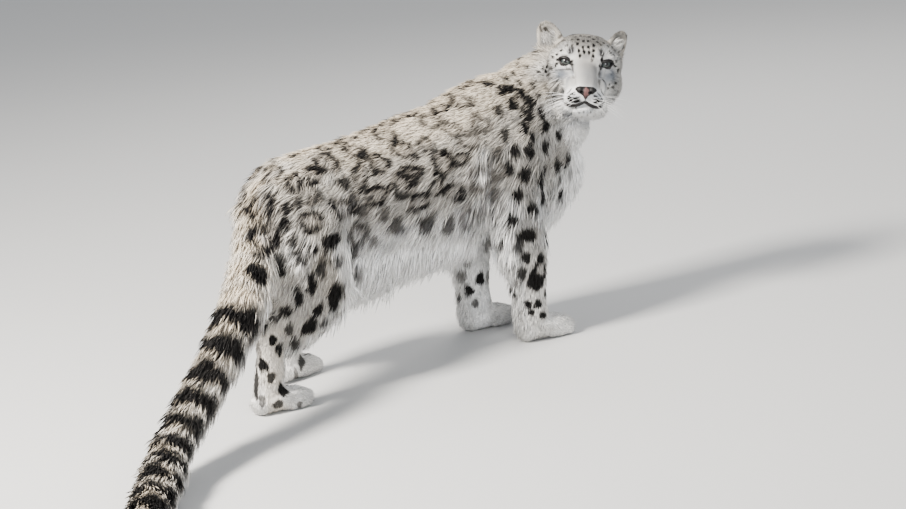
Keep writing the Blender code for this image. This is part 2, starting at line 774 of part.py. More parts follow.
def part_body(whole):
    """Part the fused body into head, neck, torso and the four limbs."""
    parts = {}
    half = GAP / 2

    def take(name, region):
        piece = copy_of(whole, name)
        boolean(piece, region(-half), "INTERSECT")
        parts[name] = keep_largest(piece)
        boolean(whole, region(half), "DIFFERENCE")

    take("head", head_region)
    take("neck", neck_region)
    for name, shape in LIMB_OUTLINES.items():
        take(name, lambda extra: limb_region(*shape, extra))
    parts["torso"] = keep_largest(whole)
    return parts


def finish_part(item, name, finish):
    item.name = name
    item.data.name = name
    item.data.materials.clear()
    item.data.materials.append(finish)
    item.data.transform(Matrix.Translation(-ORIGIN))
    return item


def tail_lengths(obstacles):
    """The tail in a few lengths; the first one fits against the rump."""
    rows = [(*c, r, r, r) for c, r in TAIL]
    whole = loft("tail", rows, side=(0, 0, 1), steps=3, around=14, cap=0.9)
    for v in whole.data.vertices:
        v.co.z = max(v.co.z, 0.0)
    parts = {}
    for name, index in TAIL_CUTS.items():
        ahead = Vector(TAIL[index + 1][0])
        behind = Vector(TAIL[index - 1][0])
        along = (ahead - behind).normalized()
        point = Vector(TAIL[index][0])
        piece = copy_of(whole, name)
        boolean(piece, slab(point, along, -1, GAP / 2), "DIFFERENCE")
        parts[name] = keep_largest(piece)
        boolean(whole, slab(point, along, 1, GAP / 2), "DIFFERENCE")
    parts["tail_tip"] = keep_largest(whole)
    base = parts["tail_base"]
    for item in obstacles:
        boolean(base, grow(copy_of(item, "grown"), GAP), "DIFFERENCE")
    keep_largest(base)
    return parts


def slab(point, along, way, extra):
    """A block on one side of a flat across the tail: way 1 is what comes before it."""
    size = 0.8
    shape = bmesh.new()
    bmesh.ops.create_cube(shape, size=size)
    shift = way * (extra - size / 2)
    turn = along.to_track_quat("X", "Z").to_matrix().to_4x4()
    place = Matrix.Translation(point) @ turn @ Matrix.Translation((shift, 0, 0))
    bmesh.ops.transform(shape, matrix=place, verts=shape.verts)
    return object_from_bmesh("slab", shape)


def main():
    clear_scene()
    coat = material("coat", COAT_COLOUR, 0.85)
    eye = material("eye", EYE_COLOUR, 0.08)
    parts = part_body(body())
    finish_head(parts["head"])
    for name, shape in EARS.items():
        piece = ear(*shape)
        for other in ("head", "neck"):
            boolean(piece, grow(copy_of(parts[other], "grown"), GAP), "DIFFERENCE")
        parts[name] = keep_largest(piece)
    near_tail = [parts[name] for name in ("torso", "leg_hind_right", "leg_hind_left")]
    parts.update(tail_lengths(near_tail))
    for name, item in parts.items():
        finish_part(item, name, coat)
    for name, item in eyes().items():
        finish_part(item, name, eye)


main()
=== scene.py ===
import math

import bmesh
import bpy
import numpy as np
from mathutils import Matrix, Vector
from mathutils.bvhtree import BVHTree


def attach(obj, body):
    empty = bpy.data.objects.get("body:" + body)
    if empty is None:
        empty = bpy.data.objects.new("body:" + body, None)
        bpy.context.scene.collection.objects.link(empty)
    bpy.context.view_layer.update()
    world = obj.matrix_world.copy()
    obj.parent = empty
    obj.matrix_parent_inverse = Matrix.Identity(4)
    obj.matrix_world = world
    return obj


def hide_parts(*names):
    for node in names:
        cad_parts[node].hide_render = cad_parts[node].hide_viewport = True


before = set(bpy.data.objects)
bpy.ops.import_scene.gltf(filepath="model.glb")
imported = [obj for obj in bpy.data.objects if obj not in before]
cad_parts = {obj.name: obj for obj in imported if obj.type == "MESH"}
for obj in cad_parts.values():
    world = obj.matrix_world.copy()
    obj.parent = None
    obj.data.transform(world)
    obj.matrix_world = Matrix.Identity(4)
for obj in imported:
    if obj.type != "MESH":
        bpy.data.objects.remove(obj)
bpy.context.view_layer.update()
print("stage: frame loaded")

# The forms are drawn in the same frame as the solids' own drawing, then carried over.
carry = Vector((0.164, 0.310, 0.0))
dice = np.random.default_rng(11)
up = Vector((0, 0, 1))


# Small geometry helpers
def curveValues(rows, steps):
    rows = np.array(rows, dtype=float)
    last = len(rows) - 1
    points = []
    for i in range(last):
        a, b, c, d = rows[max(i - 1, 0)], rows[i], rows[i + 1], rows[min(i + 2, last)]
        for k in range(steps):
            t = k / steps
            points.append(0.5 * (2 * b + (c - a) * t + (2 * a - 5 * b + 4 * c - d) * t * t
                                 + (3 * b - a - 3 * c + d) * t ** 3))
    points.append(rows[last])
    return np.array(points)


def loftForm(rows, inset=0.0, side=(0, 1, 0), steps=3, around=28, square=2.0, cap=0.45):
    values = curveValues(rows, steps)
    values[:, 3:] = np.maximum(values[:, 3:] - inset, 0.006)
    centres = [Vector(v[:3]) for v in values]
    count = len(values)
    rings = []
    for i, v in enumerate(values):
        tangent = (centres[min(i + 1, count - 1)] - centres[max(i - 1, 0)]).normalized()
        across = (Vector(side) - tangent * tangent.dot(Vector(side))).normalized()
        rise = tangent.cross(across)
        if rise.z < -0.5 or (abs(rise.z) <= 0.5 and rise.x < 0):
            rise = -rise
        rings.append((centres[i], across, rise, v[3], v[4], v[5], tangent))
    ends = []
    for c, across, rise, half, high, low, tangent in (rings[0], rings[-1]):
        out = tangent if ends else -tangent
        size = cap * min(half, (high + low) / 2)
        bulge = []
        for angle in (30, 58, 78):
            s, k = math.sin(math.radians(angle)), math.cos(math.radians(angle))
            bulge.append((c + out * size * s, across, rise, half * k, high * k, low * k, tangent))
        ends.append(bulge)
    rings = ends[0][::-1] + rings + ends[1]
    verts = []
    for c, across, rise, half, high, low, tangent in rings:
        for k in range(around):
            a = 2 * math.pi * k / around
            x = math.copysign(abs(math.cos(a)) ** (2 / square), math.cos(a))
            y = math.copysign(abs(math.sin(a)) ** (2 / square), math.sin(a))
            verts.append(c + across * half * x + rise * (high if y >= 0 else low) * y)
    faces = []
    for r in range(len(rings) - 1):
        for k in range(around):
            j = (k + 1) % around
            faces.append((r * around + k, r * around + j,
                          (r + 1) * around + j, (r + 1) * around + k))
    faces.append(tuple(range(around))[::-1])
    faces.append(tuple((len(rings) - 1) * around + k for k in range(around)))
    return verts, faces


def ballForm(centre, radii, place=None, segments=24, rings=16):
    shape = bmesh.new()
    bmesh.ops.create_uvsphere(shape, u_segments=segments, v_segments=rings, radius=1.0)
    matrix = Matrix.Translation(centre) @ Matrix.Diagonal((*radii, 1.0))
    matrix = place @ matrix if place is not None else matrix
    bmesh.ops.transform(shape, matrix=matrix, verts=shape.verts)
    verts = [v.co.copy() for v in shape.verts]
    faces = [tuple(v.index for v in f.verts) for f in shape.faces]
    shape.free()
    return verts, faces


def moved(form, matrix):
    return [matrix @ v for v in form[0]], form[1]


def meshFrom(name, forms):
    shape = bmesh.new()
    for verts, faces in forms:
        made = [shape.verts.new(v) for v in verts]
        for face in faces:
            shape.faces.new([made[i] for i in face])
    bmesh.ops.recalc_face_normals(shape, faces=shape.faces)
    mesh = bpy.data.meshes.new(name)
    shape.to_mesh(mesh)
    shape.free()
    piece = bpy.data.objects.new(name, mesh)
    bpy.context.scene.collection.objects.link(piece)
    return piece


def bake(piece):
    graph = bpy.context.evaluated_depsgraph_get()
    mesh = bpy.data.meshes.new_from_object(piece.evaluated_get(graph))
    piece.modifiers.clear()
    piece.data = mesh
    return piece


def fused(name, forms, voxel, smoothing):
    piece = meshFrom(name, forms)
    melt = piece.modifiers.new("melt", "REMESH")
    melt.mode = "VOXEL"
    melt.voxel_size = voxel
    soften = piece.modifiers.new("soften", "SMOOTH")
    soften.factor = 0.5
    soften.iterations = smoothing
    return bake(piece)


def formOf(piece):
    verts = [v.co.copy() for v in piece.data.vertices]
    faces = [tuple(f.vertices) for f in piece.data.polygons]
    bpy.data.objects.remove(piece, do_unlink=True)
    return verts, faces


def cutBy(piece, form):
    other = meshFrom("cutter", [form])
    cut = piece.modifiers.new("cut", "BOOLEAN")
    cut.operation = "DIFFERENCE"
    cut.object = other
    bake(piece)
    bpy.data.objects.remove(other, do_unlink=True)
    return piece


def smoothed(piece):
    piece.data.polygons.foreach_set("use_smooth", [True] * len(piece.data.polygons))
    return piece


def arrayOf(items, attribute):
    data = np.empty(len(items) * 3, dtype=np.float32)
    items.foreach_get(attribute, data)
    return data.reshape(-1, 3).astype(float)


def smoothStep(low, high, x):
    t = np.clip((x - low) / (high - low), 0, 1)
    return t * t * (3 - 2 * t)


def unit(v):
    return v / np.maximum(np.linalg.norm(v, axis=-1, keepdims=True), 1e-9)


# The head's own frame: forward, left, up, from midway between the eyes
# Turn, raise and tilt are in degrees.
headSet = {"middle": (0.5615, -0.120, 0.5967), "turn": -31.8, "raise": 9.8, "tilt": 10.3}


def headFrame():
    turn, rise, tilt = (math.radians(headSet[k]) for k in ("turn", "raise", "tilt"))
    level = Vector((math.sin(turn), -math.cos(turn), 0.0))
    forward = level * math.cos(rise) + up * math.sin(rise)
    upright = (up - forward * forward.z).normalized()
    left = upright.cross(forward)
    top = upright * math.cos(tilt) + left * math.sin(tilt)
    left = top.cross(forward)
    turned = Matrix((forward, left, top)).transposed().to_4x4()
    return Matrix.Translation(headSet["middle"]) @ turned


head = headFrame()
headTurn = np.array(head.to_3x3())
headAt = np.array(headSet["middle"])


def toHead(points):
    return (points - headAt) @ headTurn


def fromHead(points):
    return np.asarray(points) @ headTurn.T + headAt


# Forms of the body, out to the coat's tips, as in the solids. Each is drawn in by its inset.
# Trunk and belly: x, top, bottom, half width. Neck and legs: middle, half width, the two reaches.
trunkRows = (
    (-0.268, 0.452, 0.385, 0.046), (-0.243, 0.484, 0.340, 0.076), (-0.200, 0.512, 0.300, 0.098),
    (-0.130, 0.524, 0.272, 0.110), (-0.040, 0.527, 0.258, 0.113), (0.060, 0.537, 0.250, 0.115),
    (0.150, 0.552, 0.245, 0.116), (0.240, 0.562, 0.242, 0.115), (0.320, 0.588, 0.240, 0.112),
    (0.390, 0.600, 0.234, 0.109), (0.450, 0.598, 0.232, 0.103), (0.503, 0.582, 0.262, 0.090),
    (0.538, 0.560, 0.312, 0.072), (0.557, 0.525, 0.365, 0.050), (0.567, 0.480, 0.405, 0.030),
)
bellyRows = (
    (-0.165, 0.330, 0.255, 0.045), (-0.125, 0.330, 0.212, 0.070), (-0.050, 0.330, 0.198, 0.084),
    (0.040, 0.330, 0.200, 0.086), (0.130, 0.330, 0.206, 0.084), (0.220, 0.330, 0.212, 0.076),
    (0.290, 0.330, 0.225, 0.060),
)
neckRows = (
    (0.370, 0.000, 0.470, 0.098, 0.110, 0.120), (0.450, 0.004, 0.495, 0.096, 0.108, 0.125),
    (0.520, 0.010, 0.520, 0.092, 0.104, 0.130), (0.580, 0.003, 0.540, 0.084, 0.098, 0.110),
    (0.610, -0.025, 0.560, 0.076, 0.082, 0.085), (0.600, -0.060, 0.575, 0.066, 0.066, 0.066),
)
throat = ((0.545, -0.060, 0.452), (0.036, 0.036, 0.044))
foreRows = (
    (0.352, 0.058, 0.510, 0.040, 0.060, 0.060), (0.360, 0.078, 0.430, 0.050, 0.090, 0.084),
    (0.358, 0.090, 0.345, 0.051, 0.084, 0.080), (0.354, 0.099, 0.270, 0.048, 0.070, 0.066),
    (0.357, 0.105, 0.210, 0.045, 0.060, 0.058), (0.361, 0.105, 0.155, 0.042, 0.049, 0.052),
    (0.358, 0.105, 0.100, 0.040, 0.042, 0.043), (0.357, 0.105, 0.050, 0.041, 0.044, 0.045),
    (0.357, 0.105, 0.022, 0.038, 0.040, 0.042),
)
thighRows = (
    (-0.190, 0.050, 0.470, 0.045, 0.070, 0.070), (-0.184, 0.074, 0.395, 0.056, 0.098, 0.100),
    (-0.176, 0.092, 0.320, 0.056, 0.090, 0.118), (-0.166, 0.101, 0.262, 0.051, 0.070, 0.120),
)
shankRows = (
    (-0.164, 0.102, 0.285, 0.050, 0.074, 0.066), (-0.198, 0.104, 0.230, 0.048, 0.086, 0.078),
    (-0.246, 0.105, 0.182, 0.042, 0.080, 0.066), (-0.300, 0.105, 0.160, 0.034, 0.052, 0.048),
)
hockRows = (
    (-0.320, 0.105, 0.205, 0.022, 0.022, 0.022), (-0.318, 0.105, 0.175, 0.031, 0.036, 0.034),
    (-0.322, 0.105, 0.130, 0.031, 0.036, 0.034), (-0.332, 0.105, 0.080, 0.032, 0.038, 0.036),
    (-0.338, 0.105, 0.040, 0.035, 0.040, 0.040), (-0.338, 0.105, 0.020, 0.033, 0.038, 0.038),
)
# How far the left legs stand from the right legs' mirror image.
leftFore = (-0.024, -0.020, 0.0)
leftHind = {"hip": (0.010, -0.002, 0.0), "knee": (0.085, -0.008, 0.012),
            "hock": (0.158, -0.018, 0.0), "fringe": 0.020}
forePaw = {"half": 0.045, "height": 0.052, "heel": 0.046, "reach": 0.104, "leftTurn": math.radians(6)}
hindPaw = {"half": 0.042, "height": 0.048, "heel": 0.050, "reach": 0.104, "leftTurn": math.radians(22)}
tailRows = (  # middle, radius
    (-0.195, 0.000, 0.452, 0.046), (-0.242, -0.014, 0.405, 0.054), (-0.298, -0.060, 0.342, 0.054),
    (-0.404, -0.170, 0.272, 0.052), (-0.507, -0.247, 0.200, 0.048), (-0.614, -0.312, 0.132, 0.045),
    (-0.738, -0.408, 0.076, 0.044), (-0.888, -0.592, 0.046, 0.045), (-0.965, -0.700, 0.042, 0.042),
    (-0.995, -0.745, 0.036, 0.029),
)
insets = {"trunk": 0.011, "belly": 0.006, "neck": 0.012, "fore": 0.008, "thigh": 0.010,
          "shank": 0.009, "hock": 0.0045, "paw": 0.0025, "tail": 0.014, "head": 0.0035}


def rowsOf(rows, side, first=(0, 0, 0), last=None, fringe=0.0):
    last = first if last is None else last
    out = []
    for k, (x, y, z, half, high, low) in enumerate(rows):
        t = k / (len(rows) - 1)
        dx, dy, dz = (a + (b - a) * t for a, b in zip(first, last))
        out.append((x + dx, side * (y + dy), z + dz, half, high, low + fringe * t))
    return out


def taperInset(rows, start, end):
    n = len(rows) - 1
    return [(*r[:3], *(max(v - start - (end - start) * k / n, 0.01) for v in r[3:]))
            for k, r in enumerate(rows)]


def pawForms(x, y, size, side):
    inset = insets["paw"]
    turn = size["leftTurn"] if side > 0 else 0.0
    half, height = size["half"] - inset, size["height"] - inset
    spin = Matrix.Translation((x, y, 0)) @ Matrix.Rotation(turn, 4, "Z")
    spin = spin @ Matrix.Translation((-x, -y, 0))
    rows = [(x - size["heel"] + 0.020, y, height * 0.42, half * 0.62, height * 0.42, height * 0.42),
            (x, y, height * 0.62, half * 0.86, height * 0.62, height * 0.62),
            (x + size["reach"] * 0.36, y, height * 0.56, half * 0.96, height * 0.48, height * 0.56),
            (x + size["reach"] * 0.50, y, height * 0.42, half * 0.84, height * 0.36, height * 0.42)]
    forms = [loftForm(rows, steps=2, around=24)]
    toes = []
    for k in range(4):
        across = (k - 1.5) / 1.5
        fan = across * 0.10
        tipX = x + size["reach"] - 0.024 - 0.013 * across * across
        tipY = y + across * (half - 0.0115)
        toe = [(tipX - 0.040, tipY - fan * 0.040, height * 0.56, 0.0095, height * 0.34, height * 0.50),
               (tipX - 0.014, tipY, height * 0.52, 0.0116, height * 0.42, height * 0.50),
               (tipX + 0.009, tipY + fan * 0.020, height * 0.36, 0.0104, height * 0.36, height * 0.34)]
        forms.append(loftForm(toe, steps=2, around=16, cap=0.8))
        toes.append(spin @ Vector((tipX + 0.014, tipY + fan * 0.03, height * 0.30)))
    return [moved(f, spin) for f in forms], toes


toeTips = []
pawParts = []


def addPaw(row, size, side):
    made, toes = pawForms(*row[:2], size, side)
    pawParts.extend(made)
    toeTips.extend(toes)


def bodyForms():
    rows = [(x, 0.0, (a + b) / 2, half, (a - b) / 2, (a - b) / 2) for x, a, b, half in trunkRows]
    forms = [loftForm(rows, insets["trunk"], steps=2, around=36, square=2.25)]
    rows = [(x, 0.0, top, half, 0.02, top - low) for x, top, low, half in bellyRows]
    forms.append(loftForm(rows, insets["belly"], steps=2))
    forms.append(loftForm(neckRows, insets["neck"], around=32, square=2.1))
    forms.append(ballForm(*throat))
    for side, shift in ((-1, (0, 0, 0)), (1, leftFore)):
        rows = taperInset(rowsOf(foreRows, side, shift), insets["fore"] + 0.004, insets["hock"])
        forms.append(loftForm(rows, steps=4))
        addPaw(rows[-1], forePaw, side)
    zero = (0, 0, 0)
    for side in (-1, 1):
        hip, knee, hock = (leftHind[k] if side > 0 else zero for k in ("hip", "knee", "hock"))
        fringe = leftHind["fringe"] if side > 0 else 0.0
        forms.append(loftForm(rowsOf(thighRows, side, hip, knee), insets["thigh"]))
        forms.append(loftForm(rowsOf(shankRows, side, knee, hock, fringe), insets["shank"]))
        rows = rowsOf(hockRows, side, hock)
        forms.append(loftForm(rows, insets["hock"], steps=4))
        addPaw(rows[-1], hindPaw, side)
    rows = [(*r[:3], r[3], r[3], r[3]) for r in tailRows]
    forms.append(loftForm(rows, insets["tail"], side=(0, 0, 1), steps=6, around=20, cap=0.9))
    return forms


# Forms of the head, in its own frame
skullRows = (
    (-0.150, 0, 0.000, 0.050, 0.042, 0.055), (-0.120, 0, 0.000, 0.070, 0.060, 0.080),
    (-0.080, 0, 0.000, 0.078, 0.067, 0.092), (-0.045, 0, 0.000, 0.076, 0.065, 0.096),
    (-0.020, 0, -0.004, 0.068, 0.055, 0.092), (-0.004, 0, -0.012, 0.052, 0.036, 0.080),
)
muzzleRows = (
    (-0.030, 0, -0.058, 0.052, 0.046, 0.048), (0.008, 0, -0.062, 0.046, 0.038, 0.040),
    (0.036, 0, -0.068, 0.038, 0.028, 0.030), (0.058, 0, -0.070, 0.029, 0.018, 0.020),
)
bridgeRows = (
    (-0.030, 0, 0.012, 0.031, 0.020, 0.040), (-0.002, 0, -0.006, 0.028, 0.021, 0.040),
    (0.024, 0, -0.024, 0.0265, 0.020, 0.036), (0.048, 0, -0.043, 0.0250, 0.017, 0.030),
    (0.064, 0, -0.055, 0.0220, 0.012, 0.020),
)
headLumps = (  # brows, lids' beds, cheeks, whisker pads and chin: place, radii
    ((-0.024, 0.034, 0.018), (0.026, 0.032, 0.024)),
    ((-0.008, 0.043, 0.0165), (0.010, 0.022, 0.0075)),
    ((-0.008, 0.046, -0.0170), (0.010, 0.020, 0.0080)),
    ((-0.030, 0.062, 0.000), (0.022, 0.020, 0.030)),
    ((-0.045, 0.050, -0.034), (0.042, 0.034, 0.046)),
    ((0.010, 0.034, -0.050), (0.028, 0.017, 0.020)),
    ((0.040, 0.0205, -0.080), (0.029, 0.0215, 0.0185)),
    ((0.022, 0.026, -0.080), (0.030, 0.023, 0.022)),
    ((-0.014, 0.024, -0.096), (0.044, 0.030, 0.022)),
    ((0.032, 0.000, -0.106), (0.025, 0.024, 0.0150)),
)
eyeSet = {"spacing": 0.0835, "radius": 0.0185, "front": 0.004, "splay": math.radians(12),
          "width": 0.0335, "height": 0.0128, "slant": math.radians(17), "iris": 0.0104,
          "pupil": 0.0036}
# Each ear: side, foot, lean, turn, size. Rows: height, half width, reach ahead and behind.
earSet = {
    "right": (-1, (-0.070, 0.071, 0.030), math.radians(27), math.radians(16), 1.00),
    "left": (1, (-0.070, 0.062, 0.024), math.radians(24), math.radians(36), 0.92),
    "rows": ((-0.020, 0.031, 0.012, 0.014), (0.004, 0.032, 0.010, 0.013), (0.026, 0.030, 0.008, 0.010),
             (0.045, 0.024, 0.006, 0.008), (0.057, 0.014, 0.004, 0.005)),
    "hollow": ((0.012, 0.000, 0.028), (0.0150, 0.0235, 0.0285)),
}


def earFrame(key):
    side, foot, lean, turn, size = earSet[key]
    place = Matrix.Translation((foot[0], side * foot[1], foot[2]))
    place = place @ Matrix.Rotation(side * -lean, 4, "X") @ Matrix.Rotation(side * turn, 4, "Z")
    return head @ place @ Matrix.Scale(size, 4)


def headForms():
    inset = insets["head"]
    forms = [moved(loftForm(skullRows, inset, around=40, square=2.2, cap=0.42), head),
             moved(loftForm(muzzleRows, inset * 0.5, around=36, square=2.3), head),
             moved(loftForm(bridgeRows, 0.002, cap=0.6), head)]
    for place, radii in headLumps:
        for side in ((-1, 1) if place[1] else (1,)):
            size = tuple(r - inset * 0.4 for r in radii)
            forms.append(ballForm((place[0], side * place[1], place[2]), size, head))
    for key in ("right", "left"):
        rows = [(0, 0, h, half, a, b) for h, half, a, b in earSet["rows"]]
        cup = meshFrom("ear", [loftForm(rows, around=28, cap=0.5)])
        cutBy(cup, ballForm(*earSet["hollow"]))
        forms.append(moved(formOf(cup), earFrame(key)))
    return forms


# The skin: one closed surface under the coat
# For each mass: the voxel's size and the rounds of smoothing.
skinSet = {"body": (0.0050, 12), "head": (0.0020, 5), "paws": (0.0020, 2), "whole": (0.0029, 1)}
masses = [formOf(fused("body", bodyForms(), *skinSet["body"])),
          formOf(fused("headMass", headForms(), *skinSet["head"])),
          formOf(fused("paws", pawParts, *skinSet["paws"]))]
skin = fused("skin", masses, *skinSet["whole"])


def eyeFrame(side):
    centre = np.array((eyeSet["front"] - eyeSet["radius"], side * eyeSet["spacing"] / 2, 0))
    return centre, np.array(Matrix.Rotation(side * eyeSet["splay"], 3, "Z"))


def inOpening(local, side):
    # Points from the ball's middle, and where they lie in the oval between the lids.
    centre, turn = eyeFrame(side)
    q = (local - centre) @ turn
    across, rise = side * q[:, 1], q[:, 2]
    c, s = math.cos(eyeSet["slant"]), math.sin(eyeSet["slant"])
    x = (across * c + rise * s) / (eyeSet["width"] / 2)
    y = (-across * s + rise * c) / (eyeSet["height"] / 2)
    return q, x, y


def openEyes():
    # The skin sinks behind each ball where the lids part.
    mesh = skin.data
    points = arrayOf(mesh.vertices, "co")
    local = toHead(points)
    for side in (-1, 1):
        centre, turn = eyeFrame(side)
        q, x, y = inOpening(local, side)
        reach = np.sqrt(x * x + (y / (1 - 0.35 * np.clip(np.abs(x), 0, 1) ** 3)) ** 2)
        ahead = q[:, 0] > 0
        depth = np.linalg.norm(q, axis=1)
        inside = (1 - smoothStep(1.02, 1.30, reach)) * ahead
        wanted = eyeSet["radius"] - 0.004
        scale = np.where(depth > wanted, 1 - inside * (1 - wanted / np.maximum(depth, 1e-6)), 1)
        rim = np.exp(-((reach - 1.36) / 0.16) ** 2) * ahead * (depth < 0.04)
        scale = np.where(rim > 0.02, scale * (1 + rim * 0.03), scale)
        q = q * scale[:, None]
        local = q @ turn.T + centre
    mesh.vertices.foreach_set("co", fromHead(local).astype(np.float32).ravel())
    mesh.update()


openEyes()
smoothed(skin)
skin.data.calc_loop_triangles()
skinPoints = arrayOf(skin.data.vertices, "co")
skinNormals = arrayOf(skin.data.vertex_normals, "vector")
skinTriangles = np.empty(len(skin.data.loop_triangles) * 3, dtype=np.int32)
skin.data.loop_triangles.foreach_get("vertices", skinTriangles)
skinTriangles = skinTriangles.reshape(-1, 3)
skinTree = BVHTree.FromPolygons([tuple(p) for p in skinPoints], [tuple(t) for t in skinTriangles])
print("stage: skin", len(skinTriangles))

# Guides of the coat: place, lie, then length, width, rise, density, white, warm
tailPath = curveValues([r[:3] for r in tailRows], 12)
tailReach = curveValues([(r[3],) for r in tailRows], 12)[:, 0]
tailAlong = np.concatenate([[0], np.cumsum(np.linalg.norm(np.diff(tailPath, axis=0), axis=1))])


def guideTable():
    rows = []

    def add(place, lie, length, width, rise, density, white, warm, both=False):
        rows.append((*place, *lie, length, width, rise, density, white, warm))
        if both:
            rows.append((place[0], -place[1], place[2], lie[0], -lie[1], lie[2],
                         length, width, rise, density, white, warm))

    for x, top, low, half in trunkRows[2:-3]:
        def z(share):
            return low + (top - low) * share

        add((x, 0, z(1.0)), (-1, 0, -0.05), 0.036, 0.0036, 0.36, 1.0, 0.10, 0.70)
        add((x, 0.07, z(0.92)), (-1, 0.05, -0.15), 0.036, 0.0036, 0.36, 1.0, 0.15, 0.55, True)
        add((x, half, z(0.70)), (-1, 0, -0.30), 0.040, 0.0038, 0.36, 1.0, 0.28, 0.25, True)
        add((x, half, z(0.45)), (-0.9, 0, -0.55), 0.046, 0.0040, 0.34, 1.0, 0.38, 0.12, True)
        add((x, half, z(0.22)), (-0.65, 0, -0.85), 0.056, 0.0044, 0.30, 1.1, 0.72, 0.10, True)
        add((x, half * 0.8, z(0.02)), (-0.40, 0, -1.0), 0.075, 0.0050, 0.26, 1.2, 1.00, 0.05, True)
    for x, top, low, half in bellyRows[1:]:
        long = 0.088 if x < 0.1 else 0.066
        add((x, 0.07, low + 0.02), (-0.30, 0, -1.0), long, 0.0052, 0.30, 1.3, 1.00, 0.03, True)
        add((x, 0.00, low), (-0.40, 0, -1.0), long * 0.9, 0.0052, 0.40, 1.1, 1.00, 0.03)
    for y in (-0.05, 0.0, 0.05):
        add((0.545, y, 0.44), (-0.15, 0, -1.0), 0.042, 0.0042, 0.28, 1.1, 1.00, 0.02)
        add((0.530, y, 0.34), (-0.20, 0, -1.0), 0.048, 0.0046, 0.30, 1.1, 1.00, 0.02)
        add((0.470, y, 0.245), (-0.35, 0, -1.0), 0.046, 0.0046, 0.35, 1.0, 1.00, 0.02)
    add((0.45, 0.00, 0.605), (-1, 0, -0.10), 0.034, 0.0036, 0.36, 1.0, 0.10, 0.45)
    add((0.53, 0.01, 0.615), (-1, -0.1, -0.05), 0.032, 0.0034, 0.36, 1.0, 0.12, 0.40)
    add((0.45, 0.09, 0.55), (-0.9, 0, -0.50), 0.040, 0.0038, 0.36, 1.0, 0.30, 0.20, True)
    add((0.52, 0.10, 0.50), (-0.7, 0, -0.75), 0.044, 0.0040, 0.34, 1.0, 0.60, 0.15, True)
    add((0.50, -0.09, 0.56), (-0.85, 0.05, -0.60), 0.040, 0.0036, 0.34, 1.1, 0.50, 0.50)
    add((0.60, 0.07, 0.56), (-0.7, 0.3, -0.7), 0.042, 0.0038, 0.36, 1.0, 0.55, 0.15)
    add((0.65, 0.00, 0.56), (0.2, 0.7, -0.7), 0.042, 0.0038, 0.36, 1.0, 0.60, 0.10)
    add((0.66, -0.05, 0.62), (0.5, 0.8, -0.2), 0.026, 0.0030, 0.36, 1.0, 0.30, 0.15)
    for side, shift in ((-1, (0, 0, 0)), (1, leftFore)):
        for k, (x, y, z, half, ahead, back) in enumerate(rowsOf(foreRows, side, shift)[1:]):
            t = k / (len(foreRows) - 2)
            size = (0.040 - 0.026 * t, 0.0036 - 0.0012 * t)
            add((x, y + side * half, z), (-0.25, 0, -1), *size, 0.34, 1.0 + 0.5 * t, 0.45 + 0.2 * t, 0.2)
            add((x + ahead, y, z), (-0.05, 0, -1), *size, 0.30, 1.0 + 0.5 * t, 0.55 + 0.2 * t, 0.15)
            add((x - back, y, z), (-0.45, 0, -1), size[0] * 1.5 + 0.006, size[1] * 1.1, 0.52, 1.3,
                0.70, 0.15)
            add((x, y - side * half, z), (-0.2, 0, -1), *size, 0.34, 1.0 + 0.5 * t, 0.90, 0.05)
    zero = (0, 0, 0)
    for side in (-1, 1):
        hip, knee, hock = (leftHind[k] if side > 0 else zero for k in ("hip", "knee", "hock"))
        for x, y, z, half, ahead, back in rowsOf(thighRows, side, hip, knee):
            add((x, y + side * half, z), (-0.55, 0, -0.9), 0.042, 0.0040, 0.34, 1.0, 0.35, 0.30)
            add((x + ahead, y, z), (-0.35, 0, -1.0), 0.044, 0.0042, 0.32, 1.0, 0.60, 0.10)
            add((x - back, y, z), (-0.50, 0, -0.9), 0.052, 0.0044, 0.38, 1.2, 0.45, 0.30)
            add((x, y - side * half, z), (-0.4, 0, -1.0), 0.044, 0.0042, 0.34, 1.0, 0.90, 0.05)
        for x, y, z, half, high, low in rowsOf(shankRows, side, knee, hock)[1:]:
            add((x, y + side * half, z), (-0.55, 0, -0.8), 0.034, 0.0034, 0.34, 1.1, 0.45, 0.25)
            add((x - 0.5 * high, y, z + 0.8 * high), (-0.7, 0, -0.7), 0.046, 0.0040, 0.38, 1.2, 0.45, 0.3)
            add((x + 0.4 * low, y, z - 0.7 * low), (-0.5, 0, -0.9), 0.040, 0.0040, 0.38, 1.1, 0.75, 0.1)
        for x, y, z, half, *rest in rowsOf(hockRows, side, hock)[1:]:
            add((x, y + side * half, z), (-0.05, 0, -1), 0.017, 0.0026, 0.32, 1.4, 0.55, 0.75)
            add((x, y - side * half, z), (-0.05, 0, -1), 0.017, 0.0026, 0.32, 1.4, 0.70, 0.40)
    for (x, y, z, *rest), shift in ((foreRows[-1], (0, 0)), (foreRows[-1], leftFore[:2]),
                                    (hockRows[-1], (0, 0)), (hockRows[-1], leftHind["hock"][:2])):
        side = 1 if shift[0] or shift[1] else -1
        for dx, dz, lie in ((0.02, 0.040, (0.7, 0, -0.7)), (0.05, 0.045, (1, 0, -0.3)),
                            (0.08, 0.030, (1, 0, -0.6)), (-0.04, 0.02, (-0.3, 0, -1))):
            for dy in (-0.03, 0.0, 0.03):
                add((x + shift[0] + dx, side * (y + shift[1]) + dy, dz), lie, 0.015, 0.0018, 0.46, 3.8,
                    0.70, 0.25)
    for k in range(8, len(tailPath), 6):
        along = unit(tailPath[min(k + 4, len(tailPath) - 1)] - tailPath[k - 4])
        add(tailPath[k], along, 0.062, 0.0050, 0.34, 1.5, 0.55, 0.45)
        add(tailPath[k] - np.array((0, 0, tailReach[k])), along, 0.060, 0.0050, 0.32, 1.4, 0.95, 0.15)
        add(tailPath[k] + np.array((0, 0, tailReach[k])), along, 0.058, 0.0050, 0.34, 1.5, 0.30, 0.75)
